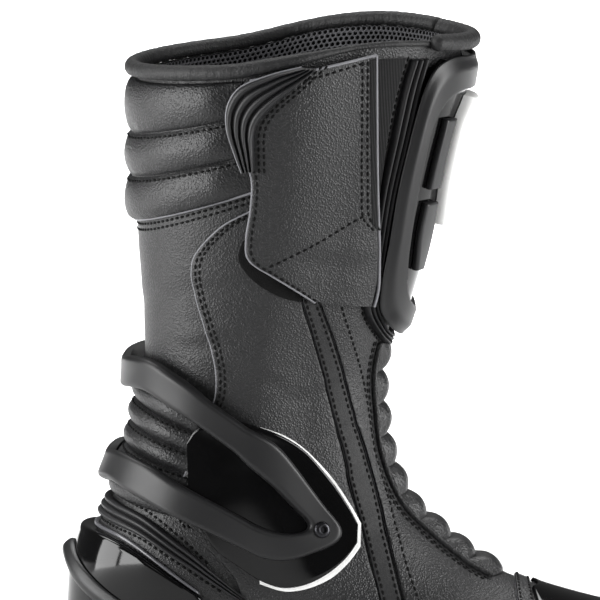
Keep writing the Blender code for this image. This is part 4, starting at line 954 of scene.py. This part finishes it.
def cap_place(u, v):
    place, edge = columns(TOE_CAP, v)
    values = ring(place)
    share = np.clip((edge - values[0]) / (values[2] - values[0]), 0.0, 1.0)
    start = np.degrees(np.arccos(1.0 - 2.0 * share))
    return place, start + (360.0 - 2.0 * start) * u


def band_place(u, v):
    turn = 0.97 * (2.0 * v - 1.0)
    rear = 197.0 + 7.0 * turn * turn
    fore = 203.5 + 13.0 * turn * turn
    return at_section(rear + (fore - rear) * u, turn)


def piping_place(side):
    def place(u, v):
        return front_ring(v), side * (180.0 - 18.8 - 2.2 * u)
    return place


PANEL_TOP = SEAT + 1.4
FLAP_FOOT = 4.0 * SEAT + 2.2
FLAP_TOP = FLAP_FOOT + 2.2
PLATE_TOP = SEAT + 5.0
FRAME_FOOT = PLATE_TOP + SEAT
BRACE_FOOT = 1.4 + 1.0 + 2.5 + 4.0 * SEAT


def make_overlays():
    padded = (
        ("calf_rolls", calf_place, (90, 130), calf_over, 0.75),
        ("achilles_rolls", achilles_place, (60, 110), achilles_over, 0.7),
        ("front_flex_panel", flex_place, (28, 190), flex_over, 0.7),
    )
    for name, place, size, over, fill in padded:
        piece = overlay(name, PADDED, place, size, SEAT, over, 0.8, creased=False)

    # name, finish, slot, rows, grid, under, over, edge, rim
    plates = (
        ("lateral_panel", LEATHER, "upper_leather", side_rows(LATERAL_PANEL), (60, 150),
         SEAT, PANEL_TOP, 0.45, CUT_EDGE),
        ("instep_strap_rear", MICROFIBRE, "strap_leather", side_rows(INSTEP_STRAP_A), (10, 120),
         SEAT, SEAT + STRAP_THICKNESS, 0.4, CUT_EDGE),
        ("instep_strap_front", LEATHER, "upper_leather", side_rows(INSTEP_STRAP_B), (10, 120),
         SEAT, PANEL_TOP, 0.4, CUT_EDGE),
        ("stretch_gore", ELASTIC, "elastic_fabric", side_rows(STRETCH_GORE), (16, 50),
         SEAT, SEAT + GORE_THICKNESS, 0.4, None),
        ("hook_patch", HOOK, "hook_tape", side_rows(HOOK_PATCH), (12, 40),
         PANEL_TOP + SEAT, PANEL_TOP + SEAT + HOOK_THICKNESS, 0.4, None),
        ("closing_flap", LEATHER, "upper_leather", side_rows(CLOSING_FLAP), (60, 110),
         FLAP_FOOT, FLAP_TOP, 0.6, CUT_EDGE),
        ("flap_pull_tab", RUBBER, "soft_rubber", side_rows(PULL_TAB), (64, 60),
         FLAP_TOP + SEAT, ribbed(FLAP_TOP + TAB_RIBBING[0], FLAP_TOP + TAB_RIBBING[1], TAB_RIBBING[2], 0.6),
         0.4, None),
        ("instep_piping_lateral", LEATHER, "upper_leather", piping_place(1.0), (6, 120),
         SEAT, PIPING_TOP, 0.7, None),
        ("instep_piping_medial", LEATHER, "upper_leather", piping_place(-1.0), (6, 120),
         SEAT, PIPING_TOP, 0.7, None),
        ("shin_gasket", RUBBER, "soft_rubber", gasket_place, (36, 130),
         SEAT, ribbed(*GASKET_RIBBING, 0.7), 0.4, None),
        ("shin_plate", GLOSS, "gloss_polymer", band_rows(SHIN_PLATE), (40, 90),
         SEAT, PLATE_TOP, 1.0, None),
        ("shin_insert", WHITE, "white_polymer", band_rows(SHIN_INSERT), (24, 50),
         FRAME_FOOT, FRAME_FOOT + INSERT_THICKNESS, 1.6, None),
        ("heel_counter", GLOSS, "gloss_polymer", counter_place, (90, 50),
         SEAT, counter_over, 1.2, None),
        # The trim's lighter grey is a painted highlight along the counter's top edge.
        ("heel_trim", BEAD_PAINTED_HIGHLIGHT, "satin_polymer", trim_place, (6, 110),
         SEAT, SEAT + BEAD_THICKNESS, 0.6, None),
        ("heel_spur", SATIN, "satin_polymer", heel_rows(HEEL_SPUR), (24, 110),
         spur_under, spur_over, 0.8, None),
        ("heel_piping", RUBBER, "soft_rubber", heel_rows(HEEL_PIPING + HEEL_PIPING_FEET), (40, 150),
         SEAT, ribbed(*HEEL_RIBBING, 0.6), 0.4, None),
        ("toe_cap", GLOSS, "gloss_polymer", cap_place, (90, 60),
         SEAT, SEAT + CAP_THICKNESS, 0.9, None),
        ("vamp_band", LEATHER, "upper_leather", band_place, (8, 110),
         SEAT, SEAT + BAND_THICKNESS, 0.4, CUT_EDGE),
    )
    for name, finish, slot, place, size, under, over, edge, rim in plates:
        soft = finish in (LEATHER, MICROFIBRE)
        overlay(name, finish, place, size, under, over, edge, rim=rim, creased=soft)

    def frame_over(u, v):
        return FRAME_FOOT + GUARD_FRAME_THICKNESS * (0.3 + 0.7 * smoothstep(0.0, 0.45, u))

    def brace_over(u, v):
        return BRACE_FOOT + BRACE_THICKNESS + BRACE_CROWN * smoothstep(0.0, 0.14, np.minimum(u, 1.0 - u))

    overlay("flap_edge_webbing", ELASTIC, side_rows(FLAP_WEBBING), (8, 60),
            FLAP_TOP - 0.2, FLAP_TOP + 0.35, 0.3, replaced=False)
    overlay("shin_frame", SATIN, front_rows(SHIN_FRAME), (14, 150),
            FRAME_FOOT, frame_over, 0.5, loop=True, creased=False)
    overlay("ankle_brace", SATIN, brace_place, (18, 240),
            BRACE_FOOT, brace_over, 0.7, loop=True, creased=False)
    for table, level in ((SHIN_PAD_UPPER, "upper"), (SHIN_PAD_LOWER, "lower")):
        for side, word in ((1.0, "lateral"), (-1.0, "medial")):
            overlay(f"shin_pad_{level}_{word}", PAD, pad_rows(table, side), (14, 30),
                    FRAME_FOOT, FRAME_FOOT + GUARD_PAD_THICKNESS, 1.0, creased=False)
    for side, word, seat in ((1.0, "lateral", 2.0), (-1.0, "medial", SEAT)):
        top = seat + WHITE_EDGE_THICKNESS
        overlay(f"brace_edge_{word}", WHITE, edge_rows(BRACE_EDGE, side), (30, 40),
                seat, top, 0.3, creased=False)
        overlay(f"brace_base_{word}", GLOSS, edge_rows(BRACE_BASE, side), (40, 50),
                top + SEAT, BRACE_FOOT - SEAT, 1.0, creased=False)


# Sole

def sole_half(share, margin, side):
    values = ring(np.zeros_like(share))
    half = rounding(share, values[7]) * (breadth_at(values, share) + margin)
    return side * half + values[9] * smoothstep(0.45, 1.0, share)


def feather(x):
    values = LAST_RINGS[0]
    share = np.clip((x - values[0]) / (values[2] - values[0]), 0.0, 1.0)
    return values[1] + (values[3] - values[1]) * share - values[8] * sag(share)


def tread(x):
    last_lug = FOREFOOT_LUGS[-1][1]
    past = np.clip((x - last_lug) / (LAST_RINGS[0][2] - last_lug), 0.0, 2.0)
    toe = TREAD_TOE_RISE * past ** TREAD_TOE_POWER
    arch = TREAD_ARCH_RISE * (1.0 - smoothstep(HEEL_BREAST, ARCH_END, x) ** TREAD_ARCH_POWER)
    return np.where((x > HEEL_BREAST) & (x < ARCH_END), arch, toe)


def make_sole():
    """Outsole with its side step, lugs with cross sipes, and the insole board inside."""
    start, end = LAST_RINGS[0][0] - 3.6, LAST_RINGS[0][2] + 3.6
    even = start + (end - start) * 0.5 * (1.0 - np.cos(pi * np.linspace(0.0, 1.0, 120)))
    lugs = HEEL_LUGS + FOREFOOT_LUGS
    cuts = [HEEL_BREAST, HEEL_BREAST + 0.8, HEEL_BREAST + 1.6]
    for a, b in lugs:
        middle = 0.5 * (a + b)
        cuts += [a - LUG_FLANK, a - 0.4, a, b, b + 0.4, b + LUG_FLANK]
        cuts += [middle + reach for reach in (-1.0, -0.5, 0.5, 1.0)]
    x = np.unique(np.round(np.concatenate([even, cuts]), 3))
    share = np.clip((x - start) / (end - start), 0.0004, 0.9996)
    top = feather(x) - SEAT
    bottom = tread(x)
    valley = np.where((x > LAST_RINGS[0][0]) & (x < FOREFOOT_LUGS[-1][1]), np.maximum(bottom, 2.6), bottom)
    on_lug = np.zeros_like(x)
    for a, b in lugs:
        middle = 0.5 * (a + b)
        rise = np.clip(np.minimum(x - (a - LUG_FLANK), (b + LUG_FLANK) - x) / LUG_FLANK, 0.0, 1.0)
        sipe = 0.45 * np.clip(1.0 - (np.abs(x - middle) - 0.5) / 0.5, 0.0, 1.0)
        on_lug = np.maximum(on_lug, rise - sipe * (rise > 0.99))
    bottom = valley + (bottom - valley) * on_lug
    waist = bottom + (top - bottom) * 0.45
    profile = (
        (3.1, top), (3.6, top - 0.6), (3.6, waist + 1.5), (3.2, waist + 0.9), (2.5, waist + 0.5),
        (2.4, waist - 0.4), (2.0, bottom + 1.0), (1.4, bottom + 0.25), (0.9, bottom),
    )
    sections = []
    for margin, level in profile:
        sections.append(np.stack([x - HEEL_CENTRE, sole_half(share, margin, -1.0), level], -1))
    for margin, level in profile[::-1]:
        sections.append(np.stack([x - HEEL_CENTRE, sole_half(share, margin, 1.0), level], -1))
    points = np.stack(sections, 1) * MM
    rows, count = points.shape[:2]
    faces = grid_faces(rows, count, False, True)
    faces += end_caps(rows, count)
    piece = link("tread_sole", points, faces, [TREAD])
    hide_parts("outsole")

    inset = 3.2
    start, end = LAST_RINGS[0][0] + inset, LAST_RINGS[0][2] - inset
    share = 0.5 * (1.0 - np.cos(pi * np.linspace(0.0, 1.0, 60)))
    x = start + (end - start) * share
    share = np.clip(share, 0.0008, 0.9992)
    low = feather(x)
    across = np.linspace(-1.0, 1.0, 17)
    left = sole_half(share, -inset, -1.0)
    right = sole_half(share, -inset, 1.0)
    upper_side = []
    for turn in across:
        y = left + (right - left) * 0.5 * (turn + 1.0)
        upper_side.append(np.stack([x - HEEL_CENTRE, y, low + 4.0 - 0.8 * turn ** 4], -1))
    under_side = [np.stack([x - HEEL_CENTRE, side, low], -1) for side in (right, left)]
    points = np.stack(upper_side + under_side, 1) * MM
    rows, count = points.shape[:2]
    faces = grid_faces(rows, count, False, True)
    faces += end_caps(rows, count)
    piece = link("foam_insole", points, faces, [FOAM])
    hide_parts("insole")


def make_screws():
    """Pan-head pivot screws with a hexagon socket, turned round their axis."""
    for side, word in ((1.0, "lateral"), (-1.0, "medial")):
        where = at_side(np.array(SCREW_PLACE[0]), np.array(SCREW_PLACE[1]), side)
        normal = Vector(outward(*where))
        foot = Vector(proud(where, BRACE_FOOT + 4.4, False))
        across = normal.cross(Vector((0.0, 0.0, 1.0))).normalized()
        up = across.cross(normal)
        profile = ((3.6, 0.0), (3.6, 0.35), (3.3, 0.9), (2.6, 1.3), (1.9, 1.4), (1.6, 1.3), (1.6, 0.5))
        points = []
        sides = 36
        for radius, rise in profile:
            for i in range(sides):
                turn = 2.0 * pi * i / sides
                reach = radius
                if radius < 1.8:
                    sector = (turn + pi / 6.0) % (pi / 3.0) - pi / 6.0
                    reach = radius * cos(pi / 6.0) / cos(sector)
                offset = across * cos(turn) * reach + up * sin(turn) * reach + normal * rise
                points.append(foot + offset * MM)
        faces = grid_faces(len(profile), sides, False, True)
        faces += end_caps(len(profile), sides)
        piece = link(f"pivot_screw_{word}", points, faces, [STEEL])
        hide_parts(f"brace_screw_{word}")


# Seams

def side_path(points, height, side=1.0, count=80):
    """Line on a side through x, z points, at a height in mm: points and normals."""
    x, z = columns(points, np.linspace(0.0, 1.0, count))
    where = at_side(x, z, side)
    return proud(where, height), outward(*where)


def inset_path(place, edge, inset, height, start=0.0, end=1.0, count=120):
    """Line at a distance in mm inside edge "first" or "last" of a plate's grid."""
    v = np.linspace(start, end, count)
    u = np.linspace(0.0, 1.0, 33)
    grid = skin(*place(*np.meshgrid(u, v)))
    run = np.linalg.norm(np.diff(grid, axis=1), axis=-1).cumsum(1)
    lengths = np.concatenate([np.zeros((count, 1)), run], 1)
    line = np.array([
        np.interp(inset if edge == "first" else row[-1] - inset, row, u) for row in lengths
    ])
    where = place(line, v)
    return proud(where, height), outward(*where)


def cross_path(place, v, height, start=0.0, end=1.0, count=90, creased=False):
    """Line across a plate's grid at a share of its rows."""
    u = np.linspace(start, end, count)
    row = np.full_like(u, v)
    where = place(u, row)
    level = height(u, row) if callable(height) else height
    return proud(where, level, creased), outward(*where)


def seam_lines():
    """Every stitched line of the boot."""
    lines = []
    panel = side_rows(LATERAL_PANEL)
    for inset in (2.0, 3.9):
        lines.append(inset_path(panel, "first", inset, PANEL_TOP + THREAD_LIFT, 0.02, 0.62))
    strap = side_rows(INSTEP_STRAP_A)
    for edge in ("first", "last"):
        lines.append(inset_path(strap, edge, 1.3, SEAT + 1.85))
    front_strap = side_rows(INSTEP_STRAP_B)
    lines.append(inset_path(front_strap, "last", 1.2, PANEL_TOP + THREAD_LIFT))
    flap = side_rows(CLOSING_FLAP)
    lines.append(inset_path(flap, "first", 2.2, FLAP_TOP + THREAD_LIFT, 0.36, 1.0))
    lines.append(side_path(((91.0, 226.5), (109.0, 236.0), (128.0, 246.5)), FLAP_TOP + THREAD_LIFT))
    for shift in (1.8, 3.9):
        lines.append(side_path([(row[2] + shift, row[3]) for row in PULL_TAB], FLAP_TOP + THREAD_LIFT))
    for x in (128.2, 130.6):
        lines.append(side_path(((x, 313.0), (x, 290.0), (x, 262.0), (x + 0.2, 247.0), (x + 4.0, 241.0)),
                               FLAP_TOP + THREAD_LIFT))
    lines.append(side_path(((105.0, 307.0), (116.0, 310.0), (127.5, 313.0)), FLAP_TOP + THREAD_LIFT))
    for v in (1.0 / 3.0, 2.0 / 3.0):
        lines.append(cross_path(calf_place, v + 0.034, lambda u, row: calf_over(u, row) + 0.15,
                                0.02, 0.98, 200))
    for drop in (2.0, 4.6):
        def below(u, v, drop=drop):
            place, angle = calf_place(u, v)
            return at_height(angle, skin(place, angle)[..., 2] - drop)
        lines.append(cross_path(below, 1.0, THREAD_LIFT, 0.0, 1.0, 200, True))
    for n in range(1, ACHILLES_ROLLS):
        lines.append(cross_path(achilles_place, n / ACHILLES_ROLLS + 0.03,
                                lambda u, row: achilles_over(u, row) + 0.15, 0.03, 0.97, 120))
    for side in (1.0, -1.0):
        for shift in (3.2, 5.4):
            v = np.linspace(0.0, 1.0, 200)
            where = (front_ring(v), side * (180.0 - 20.4 - shift))
            lines.append((proud(where, 0.08), outward(*where)))
    for ribs in (-0.25, 1.12):
        def beside(u, v, ribs=ribs):
            return heel_rows(HEEL_PIPING)(np.full_like(u, ribs), u)
        lines.append(cross_path(beside, 0.5, 0.1, 0.02, 0.98, 150, True))
    for turn in (0.14, 0.86):
        def along(u, v, turn=turn):
            return band_place(np.full_like(u, turn), u)
        lines.append(cross_path(along, 0.5, SEAT + 1.45, 0.0, 1.0, 160, True))
    gasket_seam = np.linspace(0.0, 1.0, 200)
    where = gasket_place(np.full_like(gasket_seam, -0.14), gasket_seam)
    lines.append((proud(where, 0.1), outward(*where)))
    return lines


def stitch_tree():
    """Geometry Nodes tree: stitches at an even pitch along seam lines."""
    tree = bpy.data.node_groups.new("stitch_along_seam", "GeometryNodeTree")
    face = tree.interface
    face.new_socket("Seams", in_out="INPUT", socket_type="NodeSocketGeometry")
    for label in ("Pitch", "Length", "Thickness", "Height"):
        face.new_socket(label, in_out="INPUT", socket_type="NodeSocketFloat")
    face.new_socket("Finish", in_out="INPUT", socket_type="NodeSocketMaterial")
    face.new_socket("Stitches", in_out="OUTPUT", socket_type="NodeSocketGeometry")
    given = add(tree, "NodeGroupInput").outputs
    curve = add(tree, "GeometryNodeMeshToCurve", {"Mesh": given["Seams"]})
    even = add(tree, "GeometryNodeResampleCurve", {"Curve": curve.outputs[0], "Length": given["Pitch"]},
               mode="LENGTH")
    facing = add(tree, "GeometryNodeInputNamedAttribute", {"Name": "facing"}, data_type="FLOAT_VECTOR")
    tangent = add(tree, "GeometryNodeInputTangent")
    turn = add(tree, "FunctionNodeAxesToRotation",
               {"Primary Axis": tangent.outputs[0], "Secondary Axis": facing.outputs[0]},
               primary_axis="X", secondary_axis="Z")
    points = add(tree, "GeometryNodeCurveToPoints", {"Curve": even.outputs[0]}, mode="EVALUATED")
    ball = add(tree, "GeometryNodeMeshIcoSphere", {"Radius": 0.5, "Subdivisions": 2})
    size = add(tree, "ShaderNodeCombineXYZ",
               {0: given["Length"], 1: given["Thickness"], 2: given["Height"]})
    captured = add(tree, "GeometryNodeCaptureAttribute", {"Geometry": even.outputs[0]}, domain="POINT")
    captured.capture_items.new("ROTATION", "turn")
    tree.links.new(turn.outputs[0], captured.inputs["turn"])
    tree.links.new(captured.outputs["Geometry"], points.inputs["Curve"])
    placed = add(tree, "GeometryNodeInstanceOnPoints",
                 {"Points": points.outputs["Points"], "Instance": ball.outputs[0],
                  "Rotation": captured.outputs["turn"], "Scale": size.outputs[0]})
    real = add(tree, "GeometryNodeRealizeInstances", {0: placed.outputs[0]})
    painted = add(tree, "GeometryNodeSetMaterial",
                  {"Geometry": real.outputs[0], "Material": given["Finish"]})
    add(tree, "NodeGroupOutput", {"Stitches": painted.outputs[0]})
    return tree


def run_tree(name, tree, mesh, values):
    """Plain mesh of a tree's result on a mesh, with its named inputs set."""
    source = bpy.data.objects.new(f"{name}_seams", mesh)
    bpy.context.scene.collection.objects.link(source)
    modifier = source.modifiers.new("nodes", "NODES")
    modifier.node_group = tree
    for item in tree.interface.items_tree:
        if item.in_out == "INPUT" and item.name in values:
            modifier[item.identifier] = values[item.name]
    bpy.context.view_layer.update()
    graph = bpy.context.evaluated_depsgraph_get()
    made = bpy.data.meshes.new_from_object(source.evaluated_get(graph))
    made.name = name
    source.modifiers.clear()
    bpy.data.objects.remove(source)
    piece = bpy.data.objects.new(name, made)
    bpy.context.scene.collection.objects.link(piece)
    made.shade_smooth()
    return dress(piece)


def make_stitches():
    points = []
    edges = []
    facing = []
    for line, normals in seam_lines():
        start = len(points)
        points += [tuple(p) for p in line]
        facing += [tuple(n) for n in normals]
        edges += [(start + i, start + i + 1) for i in range(len(line) - 1)]
    tree = stitch_tree()
    mesh = bpy.data.meshes.new("seam_stitches_lines")
    mesh.from_pydata(points, edges, [])
    attribute = mesh.attributes.new("facing", "FLOAT_VECTOR", "POINT")
    attribute.data.foreach_set("vector", np.array(facing).ravel())
    sizes = {"Pitch": STITCH_PITCH * MM, "Length": STITCH_LENGTH * MM, "Thickness": STITCH_WIDTH * MM,
             "Height": STITCH_HEIGHT * MM, "Finish": THREAD}
    run_tree("seam_stitches", tree, mesh, sizes)


def make_trims():
    """Thin leather cords along the edges of flap, tab, panel and rolls, and inside the collar."""
    panel, flap = side_rows(LATERAL_PANEL), side_rows(CLOSING_FLAP)
    angle = np.linspace(-141.0, 141.0, 240)
    collar = at_height(angle, skin(TOP_RING, angle)[..., 2] - 2.4)
    cords = (
        ("flap_top_binding", side_path(FLAP_TOP_EDGE, FLAP_TOP - 0.4)[0], 0.6),
        ("pull_tab_rim", side_path([row[:2] for row in PULL_TAB], FLAP_TOP + 0.6)[0], 0.5),
        ("flap_front_binding", side_path(FLAP_FRONT_EDGE, FLAP_TOP - 0.7)[0], 0.75),
        ("lateral_panel_edge", inset_path(panel, "first", 0.15, PANEL_TOP - 0.30, 0.0, 0.545)[0], 0.40),
        ("flap_rear_edge", inset_path(flap, "first", 0.10, FLAP_TOP - 0.45, 0.36, 1.0)[0], 0.50),
        ("calf_rolls_hem", cross_path(calf_place, 1.0, 1.6, 0.0, 1.0, 160)[0], 0.55),
        ("collar_inner_piping", proud(collar, -2.7, False), 0.36),
    )
    for name, path, radius in cords:
        tube(name, CUT_EDGE, path, radius)


# Studio, in metres and watts: name, place, size and power of each light that faces the boot
LIGHTS = (
    ("left_strip", (-1.10, -0.16, 0.50), (0.48, 1.2), 15.0),
    ("left_fill", (-1.15, -0.78, 0.22), (0.6, 0.8), 15.0),
    ("right_softbox", (1.15, -0.45, 0.35), (0.6, 0.9), 19.0),
    ("front_fill", (-0.25, -1.7, 1.5), (0.8, 0.8), 2.5),
    ("top_light", (0.05, 0.15, 1.4), (0.9, 0.9), 1.0),
)
BOOT_MIDDLE = (0.06, 0.0, 0.2)
SKY_STRENGTH = 0.08
FLOOR_REACH = 30.0
CAMERA_LENS = 500.0
CAMERA_SENSOR = 36.0
CAMERA_TILT = radians(8.0)
CAMERA_TARGET = (0.0595, 0.0, 0.2034)
# Width of the photo's frame at the boot's middle
CAMERA_WIDTH = 0.261


def make_light(name, place, target, size, power, spread=180.0):
    data = bpy.data.lights.new(name, "AREA")
    data.spread = radians(spread)
    data.shape = "RECTANGLE"
    data.size, data.size_y = size
    data.energy = power
    lamp = bpy.data.objects.new(name, data)
    lamp.location = place
    lamp.rotation_euler = (Vector(target) - Vector(place)).to_track_quat("-Z", "Y").to_euler()
    bpy.context.scene.collection.objects.link(lamp)


def make_studio():
    """Pale seamless floor, soft lights and the camera at the photo's angle."""
    floor_mesh = bpy.data.meshes.new("studio_floor")
    corners = ((-1, -1), (1, -1), (1, 1), (-1, 1))
    floor_mesh.from_pydata([(FLOOR_REACH * x, FLOOR_REACH * y, 0.0) for x, y in corners], [], [(0, 1, 2, 3)])
    floor = bpy.data.objects.new("studio_floor", floor_mesh)
    # Matt white paper sweep
    paper, _, shader, _ = new_finish("paper_sweep", Roughness=0.9, Specular_IOR_Level=0.1)
    shader.inputs["Base Color"].default_value = linear("#e2e2e2")
    floor_mesh.materials.append(paper)
    bpy.context.scene.collection.objects.link(floor)

    world = bpy.data.worlds.new("studio")
    bpy.context.scene.world = world
    world.use_nodes = True
    sky = world.node_tree.nodes["Background"]
    sky.inputs[0].default_value = (1.0, 1.0, 1.0, 1.0)
    sky.inputs[1].default_value = SKY_STRENGTH
    for name, place, size, power in LIGHTS:
        make_light(name, place, BOOT_MIDDLE, size, power)
    make_light("backdrop_light", (0.0, 2.4, 2.0), (0.0, 2.4, 0.0), (6.0, 3.6), 260.0, 90.0)
    bpy.context.scene.view_settings.view_transform = "Standard"

    data = bpy.data.cameras.new("photo_camera")
    data.lens = CAMERA_LENS
    data.sensor_width = CAMERA_SENSOR
    camera = bpy.data.objects.new("photo_camera", data)
    distance = CAMERA_WIDTH * data.lens / data.sensor_width
    target = Vector(CAMERA_TARGET)
    camera.location = target + Vector((0.0, -cos(CAMERA_TILT), sin(CAMERA_TILT))) * distance
    camera.rotation_euler = (target - camera.location).to_track_quat("-Z", "Y").to_euler()
    data.clip_start = 0.1
    data.clip_end = 100.0
    bpy.context.scene.collection.objects.link(camera)
    bpy.context.scene.camera = camera


make_studio()
make_upper()
make_mesh_lining()
collar_roll("collar_binding", -147.5, 142.6, 520, 3.6, 2.0, 0.5, BINDING_NARROWING)
collar_roll("collar_front_roll", 140.5, 219.0, 150, 4.0, 3.5, 0.5)
make_overlays()
make_sole()
make_screws()
make_stitches()
make_trims()
